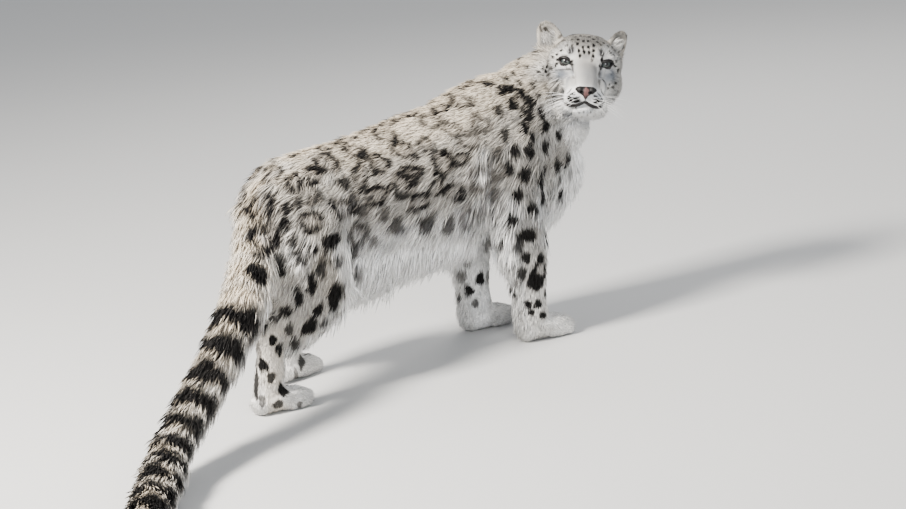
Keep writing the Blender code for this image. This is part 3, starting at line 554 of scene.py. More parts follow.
    faceRows = (
        ((0.055, 0.000, -0.042), (-0.65, 0, 0.75), 0.0050, 0.0011, 0.22, 6.0, 0.50, 0.10),
        ((0.020, 0.000, -0.014), (-0.65, 0, 0.75), 0.0060, 0.0012, 0.22, 6.0, 0.45, 0.10),
        ((0.030, 0.022, -0.045), (-0.85, 0.35, 0.25), 0.0060, 0.0012, 0.22, 6.0, 0.50, 0.05),
        ((-0.005, 0.000, 0.020), (-0.60, 0, 0.80), 0.0085, 0.0014, 0.25, 5.0, 0.40, 0.15),
        ((-0.020, 0.020, 0.045), (-0.75, 0.12, 0.65), 0.0100, 0.0015, 0.26, 4.5, 0.35, 0.20),
        ((-0.050, 0.000, 0.065), (-0.95, 0, 0.25), 0.0130, 0.0018, 0.30, 4.0, 0.30, 0.30),
        ((-0.090, 0.030, 0.062), (-1.0, 0.1, -0.1), 0.0190, 0.0022, 0.34, 3.0, 0.25, 0.30),
        ((-0.010, 0.050, 0.026), (-0.55, 0.55, 0.60), 0.0085, 0.0014, 0.25, 5.0, 0.60, 0.05),
        ((-0.012, 0.024, 0.004), (-0.6, -0.1, 0.7), 0.0060, 0.0012, 0.22, 6.0, 0.60, 0.05),
        ((-0.004, 0.045, -0.022), (-0.45, 0.85, -0.15), 0.0070, 0.0013, 0.22, 5.5, 0.80, 0.05),
        ((0.006, 0.034, -0.040), (-0.60, 0.75, -0.20), 0.0080, 0.0013, 0.22, 5.5, 0.70, 0.05),
        ((-0.025, 0.068, 0.000), (-0.75, 0.60, 0.10), 0.0130, 0.0017, 0.30, 4.0, 0.50, 0.10),
        ((-0.020, 0.065, -0.040), (-0.70, 0.60, -0.40), 0.0150, 0.0018, 0.30, 4.0, 0.60, 0.08),
        ((-0.045, 0.084, -0.050), (-0.75, 0.40, -0.55), 0.0260, 0.0025, 0.34, 3.0, 0.65, 0.15),
        ((-0.045, 0.070, -0.090), (-0.65, 0.25, -0.75), 0.0320, 0.0028, 0.36, 2.6, 0.80, 0.08),
        ((0.045, 0.036, -0.078), (-0.85, 0.50, -0.15), 0.0065, 0.0012, 0.22, 6.0, 0.90, 0.00),
        ((0.066, 0.014, -0.078), (-0.30, 0.85, -0.35), 0.0045, 0.0010, 0.20, 6.0, 0.90, 0.00),
        ((0.020, 0.046, -0.080), (-0.85, 0.50, -0.20), 0.0090, 0.0014, 0.25, 5.0, 0.85, 0.02),
        ((0.052, 0.000, -0.112), (-0.25, 0, -0.95), 0.0090, 0.0013, 0.28, 5.0, 1.00, 0.00),
        ((0.030, 0.020, -0.122), (-0.60, 0.15, -0.80), 0.0150, 0.0017, 0.34, 4.0, 1.00, 0.00),
        ((-0.010, 0.040, -0.120), (-0.75, 0.20, -0.70), 0.0230, 0.0023, 0.36, 3.0, 1.00, 0.02),
        ((-0.030, 0.000, -0.130), (-0.75, 0.00, -0.70), 0.0280, 0.0028, 0.36, 2.6, 1.00, 0.02),
        ((-0.090, 0.080, 0.010), (-0.95, 0.15, -0.35), 0.0240, 0.0026, 0.34, 2.6, 0.40, 0.30),
        ((-0.100, 0.075, -0.060), (-0.85, 0.10, -0.60), 0.0330, 0.0032, 0.36, 2.0, 0.60, 0.25),
    )
    for place, lie, *rest in faceRows:
        for side in ((-1, 1) if place[1] else (1,)):
            at = fromHead((place[0], side * place[1], place[2]))
            way = np.array((lie[0], side * lie[1], lie[2])) @ headTurn.T
            add(at, way, *rest)
    for key in ("right", "left"):
        ear = earFrame(key)
        top = np.array(ear.to_3x3() @ Vector((-0.2, 0, 1)))
        for local in ((-0.008, 0.0, 0.010), (-0.008, 0.0, 0.040), (0.004, 0.024, 0.025),
                      (0.004, -0.024, 0.025), (0.004, 0.0, 0.052)):
            add(np.array(ear @ Vector(local)), top, 0.0085, 0.0014, 0.24, 4.5, 0.30, 0.25)
    return np.array(rows)


guides = guideTable()
guides[:, 3:6] = unit(guides[:, 3:6])


def guided(points):
    # The coat at each point, mixed from the guides by their distance.
    out = np.empty((len(points), 9))
    for start in range(0, len(points), 40000):
        part = points[start:start + 40000]
        gap = ((part[:, None, :] - guides[None, :, :3]) ** 2).sum(axis=2)
        weight = 1 / (gap + 0.00003) ** 2.5
        weight /= weight.sum(axis=1, keepdims=True)
        out[start:start + 40000] = weight @ guides[:, 3:]
    return out


def tailPlace(points):
    # For each point: the nearest step of the tail's middle line, and its distance.
    gap = ((points[:, None, :] - tailPath[None, :, :]) ** 2).sum(axis=2)
    nearest = gap.argmin(axis=1)
    return nearest, np.sqrt(gap.min(axis=1))


# The camera of the photograph, in the drawing's frame
viewSet = {"azimuth": -33.0, "elevation": 13.0, "roll": 6.0, "distance": 7.0,
           "target": (0.233, 0.0, 0.209), "focal": 3120.9, "width": 906, "height": 509,
           "sensor": 36}


def viewAxes():
    az, el, roll = (math.radians(viewSet[k]) for k in ("azimuth", "elevation", "roll"))
    back = Vector((math.sin(az) * math.cos(el), -math.cos(az) * math.cos(el), math.sin(el)))
    right = (-back).cross(up).normalized()
    top = right.cross(-back)
    across = math.cos(roll) * right - math.sin(roll) * top
    rise = math.sin(roll) * right + math.cos(roll) * top
    return across, rise, back


viewAcross, viewRise, viewBack = viewAxes()
viewPoint = Vector(viewSet["target"]) + viewBack * viewSet["distance"]


def seenAt(px, py):
    # Where the line of sight through a place in the photograph meets the skin.
    x = (px - viewSet["width"] / 2) / viewSet["focal"]
    y = (viewSet["height"] / 2 - py) / viewSet["focal"]
    ray = (viewAcross * x + viewRise * y - viewBack).normalized()
    return skinTree.ray_cast(viewPoint, ray)[:2]


# Markings, placed in the photograph's pixels
# Each mark is (px, py, width, height, slant in degrees, darkness).
ringMarks = (
    (440, 164, 20, 28, 10, 1.0), (409, 177, 22, 20, 0, 0.9), (451, 194, 22, 17, -20, 0.9),
    (416, 204, 20, 18, 0, 1.0), (401, 186, 24, 26, 0, 0.75), (374, 197, 22, 20, 10, 0.8),
    (377, 165, 20, 20, 0, 0.9), (401, 151, 26, 15, -18, 0.9), (358, 179, 14, 28, 10, 0.75),
    (476, 180, 22, 24, 0, 0.45), (491, 171, 18, 24, 0, 0.4), (478, 125, 22, 16, -25, 0.55),
    (450, 131, 22, 14, -22, 0.6), (467, 142, 20, 18, 0, 0.5), (429, 122, 24, 14, -22, 0.6),
    (459, 103, 24, 12, -25, 0.7), (424, 146, 16, 14, -20, 0.6), (274, 180, 16, 20, 0, 1.0),
    (266, 211, 22, 24, 0, 1.0), (293, 185, 16, 22, 0, 0.9), (324, 164, 24, 20, -10, 0.85),
    (340, 211, 22, 20, 0, 0.9), (309, 224, 22, 20, 0, 0.9), (352, 152, 24, 12, -18, 0.8),
    (385, 138, 24, 12, -20, 0.75), (464, 218, 18, 20, 0, 0.4), (484, 205, 16, 22, 0, 0.3),
    (262, 244, 26, 24, 10, 1.0), (304, 255, 22, 14, 10, 0.8), (355, 235, 18, 20, 0, 0.6),
    (540, 272, 14, 22, 0, 0.9), (518, 104, 12, 14, 0, 0.9),
)
blotMarks = (
    (393, 227, 12, 18, 20, 0.7), (422, 225, 14, 16, 10, 0.75), (444, 225, 12, 18, 0, 0.7),
    (486, 85, 14, 7, -20, 0.9), (500, 92, 10, 10, 0, 1.0), (509, 90, 9, 9, 0, 1.0),
    (520, 94, 10, 9, 0, 1.0), (510, 105, 9, 12, 0, 1.0), (528, 104, 9, 12, 20, 1.0),
    (525, 116, 10, 12, 0, 1.0), (539, 116, 9, 13, 20, 1.0), (543, 128, 9, 12, 0, 1.0),
    (558, 138, 8, 12, 20, 0.9), (523, 130, 9, 13, 0, 1.0), (531, 140, 9, 12, 10, 1.0),
    (514, 154, 10, 14, 0, 1.0), (528, 154, 10, 13, 10, 1.0), (544, 150, 8, 14, 10, 1.0),
    (555, 168, 9, 16, 10, 1.0), (508, 172, 9, 14, 0, 1.0), (522, 178, 11, 14, 0, 1.0),
    (539, 184, 9, 16, 15, 1.0), (541, 200, 8, 14, 10, 1.0), (557, 197, 8, 15, 10, 1.0),
    (517, 198, 10, 13, 0, 1.0), (531, 212, 10, 12, 0, 1.0), (550, 215, 8, 13, 10, 0.9),
    (511, 223, 12, 12, 0, 1.0), (526, 238, 20, 13, 10, 1.0), (504, 243, 12, 12, 0, 0.9),
    (545, 243, 9, 12, 0, 0.9), (497, 112, 8, 12, 20, 0.8), (503, 137, 8, 14, 10, 0.8),
    (497, 155, 8, 14, 0, 0.6), (494, 196, 8, 14, 0, 0.5), (498, 222, 10, 14, 0, 0.8),
    (513, 265, 9, 9, 0, 1.0), (535, 283, 14, 18, 35, 1.0), (516, 295, 10, 9, 0, 1.0),
    (528, 305, 8, 7, 0, 1.0), (538, 305, 8, 8, 0, 1.0), (531, 313, 7, 6, 0, 0.9),
    (543, 316, 8, 7, 0, 0.9), (518, 250, 10, 12, 0, 0.8), (540, 260, 9, 10, 0, 0.9),
    (522, 275, 9, 11, 0, 0.8), (508, 285, 7, 10, 0, 0.7), (545, 295, 6, 10, 0, 0.8),
    (492, 279, 10, 15, 0, 1.0), (480, 280, 8, 12, 0, 0.9), (491, 296, 8, 10, 0, 0.9),
    (469, 292, 8, 11, 0, 0.9), (463, 278, 8, 12, 0, 0.6), (475, 304, 7, 8, 0, 0.7),
    (284, 211, 9, 12, 0, 1.0), (284, 225, 9, 13, 0, 1.0), (342, 185, 12, 11, 0, 0.8),
    (329, 245, 18, 14, 40, 1.0), (299, 263, 11, 11, 0, 0.8), (349, 253, 8, 15, 15, 0.7),
    (370, 242, 9, 14, 20, 0.6), (352, 272, 9, 13, 20, 0.6), (310, 286, 9, 20, 5, 1.0),
    (335, 294, 11, 17, 25, 1.0), (280, 152, 12, 6, -20, 0.9), (272, 163, 9, 9, 0, 0.9),
    (293, 158, 12, 9, -20, 0.9), (308, 150, 14, 6, -15, 0.9), (362, 157, 12, 9, -20, 0.8),
    (271, 302, 9, 13, 0, 0.9), (297, 300, 9, 18, 0, 0.9), (284, 315, 11, 10, 0, 1.0),
    (308, 328, 15, 13, 30, 1.0), (331, 305, 9, 20, 15, 1.0), (302, 362, 7, 12, 0, 0.8),
    (283, 391, 10, 9, 0, 0.9), (293, 345, 7, 14, 0, 0.8), (278, 405, 9, 7, 0, 0.8),
    (340, 125, 12, 5, -15, 0.8), (372, 126, 12, 5, -20, 0.8), (398, 117, 14, 5, -22, 0.8),
    (430, 106, 12, 5, -25, 0.8), (446, 98, 12, 5, -28, 0.8), (472, 80, 12, 5, -25, 0.9),
    (256, 279, 18, 22, 10, 1.0), (281, 272, 10, 12, 0, 0.9), (257, 262, 12, 10, 0, 0.7),
    (258, 350, 7, 30, 4, 0.45), (256, 385, 6, 26, 0, 0.85), (262, 402, 6, 10, 0, 0.6),
    (330, 322, 6, 12, 20, 0.7), (300, 405, 5, 6, 0, 0.6), (293, 412, 5, 5, 0, 0.6),
    (306, 376, 5, 9, 0, 0.7), (296, 375, 4, 12, 0, 0.5), (276, 262, 9, 12, 0, 0.8),
    (291, 244, 9, 13, 10, 0.8), (296, 205, 9, 12, 0, 0.8),
    (320, 273, 8, 14, 0, 0.8), (322, 262, 9, 9, 0, 0.6), (335, 265, 9, 12, 20, 0.7),
    (316, 198, 9, 11, 0, 0.6), (308, 205, 8, 9, 0, 0.6), (360, 212, 10, 12, 0, 0.6),
    (381, 216, 9, 14, 10, 0.6), (430, 216, 8, 8, 0, 0.5), (352, 199, 8, 12, 0, 0.6),
)
# On the head, as the photograph shows them on either side.
faceMarks = (
    (572.2, 64.8, 4.0, 2.8, 30, 1.0), (570.2, 63.4, 4.4, 3.8, 25, 1.0), (557.6, 59.8, 4.0, 2.8, 10, 0.9),
    (600.0, 67.4, 4.0, 2.8, -30, 1.0), (602.0, 66.2, 4.4, 3.8, -30, 1.0), (611.5, 61.8, 4.0, 2.6, -20, 0.9),
    (579, 50.5, 3.0, 4.5, 0, 1.0), (580, 56, 3.0, 4.0, -10, 1.0), (577.5, 43.5, 3.2, 4.5, 0, 1.0),
    (578, 39.5, 3.2, 3.5, 0, 0.9), (583, 47.5, 2.8, 4.2, 0, 1.0), (584, 52, 2.8, 4.0, 0, 1.0),
    (588.6, 47, 2.8, 4.2, 0, 1.0), (589, 52.5, 2.8, 4.2, 0, 1.0), (593.6, 45, 3.0, 4.5, 0, 1.0),
    (593.4, 50.5, 3.0, 4.0, 0, 1.0), (593, 56, 3.2, 4.2, 10, 1.0), (592, 60, 2.6, 3.4, 0, 0.6),
    (588, 41, 3.0, 4.0, 0, 1.0), (583.4, 41, 3.0, 4.0, 0, 1.0), (580.5, 36, 4.0, 2.6, 0, 0.9),
    (575.5, 37, 4.0, 2.6, -20, 0.9), (572, 39.5, 3.4, 3.0, -20, 0.8), (589.3, 37, 3.4, 2.8, 0, 0.9),
    (593.5, 39.3, 3.4, 3.0, 10, 0.9), (597, 38, 3.6, 2.6, 10, 0.8), (597.5, 42, 3.0, 3.4, 10, 0.8),
    (584.5, 36.5, 3.0, 2.6, 0, 0.8), (572, 45, 3.0, 3.4, -20, 0.6), (600.5, 44.5, 3.0, 3.4, 20, 0.6),
    (570.7, 49.5, 5.5, 8.5, -10, 0.62), (601.9, 53, 5.0, 8.5, 10, 0.62), (566.5, 45.5, 4.0, 3.0, -30, 0.5),
    (561, 50.4, 3.0, 3.0, 0, 0.9), (556.7, 54.6, 3.0, 2.6, -30, 0.9), (552.6, 57.2, 3.4, 3.0, -40, 0.9),
    (549.3, 62.0, 2.6, 4.0, -30, 1.0), (547.2, 66.5, 2.8, 4.5, -20, 1.0), (545.8, 71.4, 3.2, 4.2, 0, 1.0),
    (547.6, 76, 3.0, 3.6, 20, 1.0), (550.5, 79.6, 3.6, 3.0, 30, 0.9), (555.4, 82.0, 4.0, 2.4, 15, 0.7),
    (561.0, 83.2, 4.0, 2.2, 5, 0.5), (551.5, 68, 2.6, 3.4, 0, 0.7), (565, 55.6, 6.0, 1.8, -12, 0.5),
    (556.2, 64.6, 2.6, 6.5, -38, 1.0), (566, 69.3, 12.0, 1.8, 8, 0.6),
    (572.6, 68, 2.2, 7.5, 8, 0.55), (573.4, 77, 2.2, 8.0, 8, 0.28), (599.6, 73, 2.4, 8.0, -8, 0.5),
    (599.3, 82, 2.2, 8.0, 0, 0.45), (614.8, 65.6, 6.0, 2.6, -25, 1.0),
    (618.2, 70.5, 2.6, 5.0, 0, 1.0), (619.8, 76, 2.6, 5.0, 0, 1.0), (619.8, 82, 3.0, 4.2, 0, 0.9),
    (615.6, 83.6, 3.0, 2.6, 0, 0.9), (613.0, 87.4, 3.0, 2.6, 0, 0.9), (609.6, 84.6, 2.6, 2.2, 0, 0.8),
    (607.9, 88.4, 2.6, 2.2, 0, 0.8), (616.4, 91.6, 3.4, 2.4, 0, 0.8), (613.6, 96.0, 4.0, 2.4, -30, 0.7),
    (603.6, 43.0, 2.6, 3.2, 20, 0.8), (607.9, 46.2, 2.6, 3.2, 20, 0.8), (610.2, 52.1, 3.0, 3.4, 20, 0.8),
    (613.6, 55.5, 3.0, 3.2, 20, 0.8), (616.4, 61, 2.6, 3.4, 20, 0.8), (537.5, 49.3, 3.4, 7.0, -20, 1.0),
    (622.4, 46.0, 3.4, 7.0, 10, 0.9), (560, 36.5, 3.0, 6.0, -40, 0.5), (564, 41.0, 4.0, 3.0, -30, 0.6),
    (570.2, 94.8, 9.0, 2.4, 8, 1.0), (571.0, 98.2, 12.0, 2.8, 8, 1.0), (571.5, 101.6, 12.0, 3.0, 8, 1.0),
    (576.0, 97.6, 5.0, 2.2, 8, 0.8), (577.5, 100.6, 6.0, 2.2, 8, 0.9), (596.0, 96.4, 5.0, 2.2, -6, 0.8),
    (596.5, 99.6, 7.0, 2.4, -6, 1.0), (596.5, 102.4, 7.0, 2.4, -8, 1.0), (574.0, 94.4, 3.0, 1.8, 0, 0.7),
    (535.0, 50.8, 3.0, 6.5, -30, 1.0), (516.5, 67.0, 5.0, 7.0, 20, 1.0), (524.0, 69.0, 4.0, 6.0, 20, 0.9),
    (536.5, 72.3, 4.0, 4.0, 0, 0.9), (542.0, 68.0, 3.4, 6.0, 0, 1.0), (517.3, 84.0, 5.0, 7.0, 20, 1.0),
    (529.6, 87.0, 4.0, 8.0, 20, 0.9), (535.0, 97.7, 5.0, 8.0, 30, 0.9), (522.0, 76.5, 4.0, 6.0, 20, 0.8),
    (511.0, 75.0, 5.0, 7.0, 20, 0.9), (505.0, 80.0, 6.0, 7.0, 0, 0.9), (541.5, 74.5, 3.4, 4.0, 0, 0.9),
    (569.5, 91.4, 7.0, 1.8, 8, 0.8), (602.3, 93.2, 8.0, 2.0, -6, 0.9), (601.4, 97.0, 10.0, 2.6, -8, 1.0),
    (601.2, 100.6, 11.0, 2.8, -8, 1.0), (570.6, 105.0, 11.0, 4.0, 10, 1.0),
    (602.0, 104.6, 10.0, 4.0, -10, 1.0),
    (579.3, 112.8, 2.2, 2.0, 0, 0.6), (583.6, 112.2, 2.0, 2.0, 0, 0.6), (590.2, 112.4, 2.2, 2.0, 0, 0.6),
    (593.2, 114.8, 2.0, 2.0, 0, 0.5), (582.1, 116.0, 2.0, 2.0, 0, 0.5), (587.0, 114.8, 2.0, 2.0, 0, 0.5),
    (546.5, 31, 4.5, 9.0, 30, 0.65), (540.5, 28, 2.4, 8.0, 10, 0.6), (551, 37, 4.0, 5.0, 0, 0.5),
    (618.5, 42, 4.0, 8.0, -10, 0.6), (612, 34, 3.0, 5.0, 40, 0.5), (624.6, 34, 2.0, 6.0, 0, 0.5),
)
# Soft grey tones: painted shade in the creases of the body, on the near foreleg, under the chin, in the ears
# and over the brows and cheeks, and on the face partly its own grey.
paintedShadeAndGrey = (
    (588, 74, 28, 44, 0, 0.56), (572.5, 72, 8, 24, 8, 0.60), (600.5, 75, 8, 28, -6, 0.62),
    (560, 74.5, 28, 22, 0, 0.80), (611.5, 76, 22, 24, 0, 0.80), (571, 50, 12, 15, -10, 0.82),
    (601.5, 53, 10, 14, 10, 0.82), (584, 40, 56, 22, 0, 0.42), (586, 55, 20, 16, 0, 0.50),
    (549, 70, 10, 36, -8, 0.55), (556, 92, 28, 16, 30, 0.60), (621, 80, 9, 40, 0, 0.50),
    (563, 99, 12, 14, 0, 0.55), (571, 98, 17, 16, 0, 0.50), (600, 98, 15, 16, 0, 0.50),
    (613, 95, 15, 16, 0, 0.45), (586, 112, 36, 9, 0, 0.40), (549, 31, 18, 28, 10, 0.50),
    (543, 41, 10, 14, 0, 0.75), (617, 38, 14, 22, -10, 0.60), (613, 47, 10, 10, 0, 0.65),
    (558, 112, 22, 26, 30, 0.60), (585, 125, 40, 14, 0, 0.45), (504, 150, 16, 110, 5, 0.38),
    (356, 222, 18, 120, 8, 0.30),
    (392, 238, 70, 18, 28, 0.30), (530, 215, 56, 120, 0, 0.30), (495, 215, 10, 80, 0, 0.34),
    (470, 190, 60, 70, 0, 0.14), (300, 290, 40, 60, 0, 0.12),
)
markSet = {"metre": 445.0, "grow": 1.10, "shadedCleft": (0.040, 0.0055)}


def surfaceBasis(normal, reference, slant):
    normal = Vector(normal).normalized()
    first = Vector(reference) - normal * normal.dot(Vector(reference))
    first.normalize()
    second = normal.cross(first)
    a = math.radians(slant)
    return (np.array(first * math.cos(a) + second * math.sin(a)),
            np.array(second * math.cos(a) - first * math.sin(a)), np.array(normal))


def allMarks():
    marks = []

    def addMark(place, normal, reference, width, height, slant, dark, kind):
        e1, e2, n = surfaceBasis(normal, reference, slant)
        marks.append((np.array(place), e1, e2, n, width / 2, height / 2, dark, kind,
                      dice.uniform(0, 6.28, 3)))

    for table, kind in ((ringMarks, "ring"), (blotMarks, "blot"), (faceMarks, "blot"),
                        (paintedShadeAndGrey, "shade")):
        onBody = table is ringMarks or table is blotMarks
        for px, py, width, height, slant, dark in table:
            place, normal = seenAt(px, py)
            if place is None:
                continue
            size = (markSet["grow"] if onBody else 1.0) / markSet["metre"]
            wide, tall = width * size, height * size
            tilt = Vector(normal).dot(viewAcross)
            most = 0.85 if width <= 12 else 0.72
            wide = wide / max(math.sqrt(max(1 - tilt * tilt, 0)), most)
            lift = Vector(normal).dot(viewRise)
            tall = tall / max(math.sqrt(max(1 - lift * lift, 0)), most)
            addMark(place, normal, viewAcross, wide, tall, slant, dark, kind)
            # The near side's marks of trunk and legs come again on the far side.
            trunkOrLeg = np.linalg.norm(toHead(np.array([place]))[0]) > 0.17
            if onBody and trunkOrLeg and place.z > 0.06 and place.x > -0.30 and place.y < -0.03:
                start = Vector((place.x + dice.uniform(-0.012, 0.012), 0.30,
                                place.z + dice.uniform(-0.012, 0.012)))
                other = skinTree.ray_cast(start, Vector((0, -1, 0)))
                if other[0] is not None and other[0].y > 0.02:
                    addMark(*other[:2], (1, 0, 0), wide, tall, -slant, dark, kind)
    # Painted shade in the clefts between the toes.
    for k in range(0, len(toeTips), 4):
        for left, right in zip(toeTips[k:k + 3], toeTips[k + 1:k + 4]):
            shadedCleft = (left + right) / 2 + Vector((-0.022, 0, 0.080))
            place, normal = skinTree.ray_cast(shadedCleft, Vector((0, 0, -1)))[:2]
            if place is not None and place.z > 0.004:
                addMark(place, normal, (1, 0, 0), *markSet["shadedCleft"], 0, 0.75, "blot")
    return marks


fillSet = {"tries": 9000, "whitest": 0.86, "legTop": 0.20, "lowest": 0.075, "frontFrom": 0.42,
           "legApart": 0.026, "frontApart": 0.034, "trunkApart": 0.047,
           "small": (0.018, 0.028), "large": (0.036, 0.052)}


def fillMarks(marks):
    # Marks where the photograph shows nothing: the far side, the back, the legs' inner sides.
    areas = triangleAreas(skinPoints, skinTriangles)
    picks = dice.choice(len(skinTriangles), fillSet["tries"], p=areas / areas.sum())
    places = skinPoints[skinTriangles[picks]].mean(axis=1)
    normals = skinNormals[skinTriangles[picks, 0]]
    info = guided(places)
    local = toHead(places)
    held = [m[0] for m in marks if m[7] != "shade"]
    for place, normal, row, inHead in zip(places, normals, info, local):
        onTail = place[0] < -0.24 and place[1] < 0.09 and tailPlace(place[None])[1][0] < 0.05
        face = inHead[0] > -0.075 and np.linalg.norm(inHead) < 0.22
        if onTail or face or row[7] > fillSet["whitest"] or place[2] < fillSet["lowest"]:
            continue
        low = place[2] < fillSet["legTop"]
        front = place[0] > fillSet["frontFrom"]
        apart = fillSet["legApart" if low else "frontApart" if front else "trunkApart"]
        if min(np.linalg.norm(np.array(held) - place, axis=1)) < apart:
            continue
        held.append(place)
        small = low or front or row[7] > 0.6
        size = dice.uniform(*fillSet["small" if small else "large"])
        e1, e2, n = surfaceBasis(normal, row[:3], dice.uniform(-25, 25))
        dark = dice.uniform(0.75, 1.0) * (1 - 0.5 * smoothStep(0.55, 0.85, row[7]))
        marks.append((place, e1, e2, n, size / 2 * 1.15, size / 2 * 0.85, dark,
                      "blot" if small else "ring", dice.uniform(0, 6.28, 3)))
    return marks


def triangleAreas(points, triangles):
    a, b, c = (points[triangles[:, k]] for k in range(3))
    return np.linalg.norm(np.cross(b - a, c - a), axis=1) / 2


marks = fillMarks(allMarks())
print("stage: marks", len(marks))

tailBands = {"first": 0.43, "step": 0.079, "half": 0.030}
ringSet = {"edge": (0.94, 1.14), "hole": (0.40, 0.62), "gaps": (0.84, 0.98), "brown": 0.30}


def darkness(points, normals):
    # How dark each point is, how much of a ring's brown centre it takes, and its soft shade, which is
    # painted shade and, on the face, partly its own grey.
    dark = np.zeros(len(points))
    centre = np.zeros(len(points))
    grey = np.zeros(len(points))
    order = np.argsort(points[:, 0])
    xs = points[order, 0]
    for place, e1, e2, n, a, b, strength, kind, phase in marks:
        reach = 1.35 * max(a, b)
        chosen = order[np.searchsorted(xs, place[0] - reach):np.searchsorted(xs, place[0] + reach)]
        d = points[chosen] - place
        u, v = d @ e1, d @ e2
        near = (u * u + v * v < reach * reach) & (np.abs(d @ n) < 0.012 + reach)
        near &= normals[chosen] @ n > -0.1
        chosen, u, v = chosen[near], u[near] / a, v[near] / b
        turn = np.arctan2(v, u)
        wobble = 1 + 0.10 * np.sin(3 * turn + phase[0]) + 0.07 * np.sin(5 * turn + phase[1])
        r = np.sqrt(u * u + v * v) / wobble
        # A soft shade greys the coat with painted shade, darkest at its middle.
        if kind == "shade":
            grey[chosen] = np.maximum(grey[chosen], strength * (1 - smoothStep(0.0, 1.25, r)))
            continue
        body = 1 - smoothStep(*ringSet["edge"], r)
        if kind == "ring":
            inner = smoothStep(*ringSet["hole"], r + 0.05 * np.sin(4 * turn + phase[2]))
            gaps = smoothStep(*ringSet["gaps"], np.sin(2 * turn + phase[2]) * 0.5 + 0.5)
            value = body * inner * (1 - 0.65 * gaps)
            inside = (1 - inner) * ringSet["brown"] * strength
            centre[chosen] = np.maximum(centre[chosen], inside)
        else:
            value = body
        deepened = min(strength * (1.25 if kind == "ring" else 1.1), 1.0)
        dark[chosen] = np.maximum(dark[chosen], value * deepened)
    # The bands of the tail, open along its underside, and its dark end.
    onTail = np.where((points[:, 0] < -0.25) & (points[:, 1] < 0.09))[0]
    if len(onTail):
        k, gap = tailPlace(points[onTail])
        near = gap < 0.06
        onTail, k = onTail[near], k[near]
        spot = points[onTail]
        s = tailAlong[k]
        out = unit(spot - tailPath[k])
        along = unit(tailPath[np.minimum(k + 1, len(tailPath) - 1)] - tailPath[np.maximum(k - 1, 0)])
        sideways = unit(np.cross(along, np.array((0, 0, 1.0))))
        angle = np.arctan2((out * sideways).sum(axis=1), out[:, 2])
        under = smoothStep(1.75, 2.45, np.abs(angle - 0.25))
        wave = 0.006 * np.sin(3 * angle + s * 60) + 0.004 * np.sin(5 * angle + 1.3)
        t = (s + wave - tailBands["first"]) / tailBands["step"]
        band = np.abs(t - np.round(t)) * tailBands["step"]
        value = (1 - smoothStep(tailBands["half"] - 0.006, tailBands["half"] + 0.004, band))
        value = value * (t > -0.45) * (1 - 0.9 * under)
        value = np.maximum(value, smoothStep(tailAlong[-1] - 0.05, tailAlong[-1] - 0.02, s))
        dark[onTail] = np.maximum(dark[onTail], value)
    return dark, centre, grey


coatColours = {"back": (0.46, 0.410, 0.335), "white": (0.91, 0.905, 0.89), "warm": (0.64, 0.500, 0.330),
               "grey": (0.350, 0.335, 0.308), "dark": (0.0035, 0.0028, 0.0025),
               "brown": (0.055, 0.034, 0.020)}


def coatColour(points, normals, info=None):
    info = guided(points) if info is None else info
    white, warm = info[:, 7:8], info[:, 8:9]
    c = {k: np.array(v) for k, v in coatColours.items()}
    colour = c["grey"] + (c["back"] - c["grey"]) * np.clip(warm * 1.3, 0, 1)
    colour = colour + (c["warm"] - colour) * np.clip(warm - 0.35, 0, 1) * 0.55
    colour = colour + (c["white"] - colour) * smoothStep(0.30, 0.95, white)
    drift = np.sin(points @ (31.0, 47.0, 23.0) + 2 * np.sin(points @ (19.0, 11.0, 37.0)))
    colour = colour * (1 + 0.10 * drift)[:, None]
    dark, centre, grey = darkness(points, normals)
    # Painted shade: the soft shades darken the coat, a little cool.
    colour = colour * (1 - grey[:, None] * (1.0, 0.97, 0.92))
    colour = colour + (c["brown"] * 1.6 - colour) * centre[:, None] * 0.8
    tone = c["dark"] + (c["brown"] - c["dark"]) * (1 - smoothStep(0.35, 0.85, dark))[:, None] * 0.5
    return colour + (tone - colour) * (np.clip(dark, 0, 1) ** 0.6)[:, None]


# Materials
def shaderOf(name, roughness, **values):
    finish = bpy.data.materials.new(name)
    finish.use_nodes = True
    shader = finish.node_tree.nodes["Principled BSDF"]
    shader.inputs["Roughness"].default_value = roughness
    for key, value in values.items():
        shader.inputs[key].default_value = value
    return finish, shader


def plainShader(name, roughness, **values):
    return shaderOf(name, roughness, **values)[0]


def attributeShader(name, roughness, bump=None, **values):
    finish, shader = shaderOf(name, roughness, **values)
    nodes, links = finish.node_tree.nodes, finish.node_tree.links
    tint = nodes.new("ShaderNodeVertexColor")
    tint.layer_name = "tint"
    links.new(tint.outputs["Color"], shader.inputs["Base Color"])
    if bump:
        scale, strength, distance = bump
        grain = nodes.new("ShaderNodeTexNoise")
        grain.inputs["Scale"].default_value = scale
        grain.inputs["Detail"].default_value = 6.0
        lift = nodes.new("ShaderNodeBump")
        lift.inputs["Strength"].default_value = strength
        lift.inputs["Distance"].default_value = distance
        links.new(grain.outputs["Fac"], lift.inputs["Height"])
        links.new(lift.outputs["Normal"], shader.inputs["Normal"])
    return finish


furFinish = attributeShader("fur", 0.75, **{"Specular IOR Level": 0.22})
skinFinish = attributeShader("underFur", 0.9, bump=(420.0, 0.5, 0.002),
                             **{"Specular IOR Level": 0.15})
noseFinish = attributeShader("noseLeather", 0.55, bump=(900.0, 0.35, 0.0006),
                             **{"Specular IOR Level": 0.3})
eyeFinish = attributeShader("eye", 0.20, **{"Coat Weight": 0.45, "Coat Roughness": 0.03,
                                            "Specular IOR Level": 0.25})
rimFinish = plainShader("rim", 0.45, **{"Base Color": (0.005, 0.004, 0.004, 1),
                                         "Specular IOR Level": 0.3})
clawFinish = plainShader("claw", 0.30, **{"Base Color": (0.20, 0.16, 0.13, 1)})
whiskerFinish = plainShader("whisker", 0.35, **{"Base Color": (0.85, 0.84, 0.82, 1)})
floorFinish = plainShader("floor", 0.75, **{"Base Color": (0.50, 0.50, 0.495, 1)})


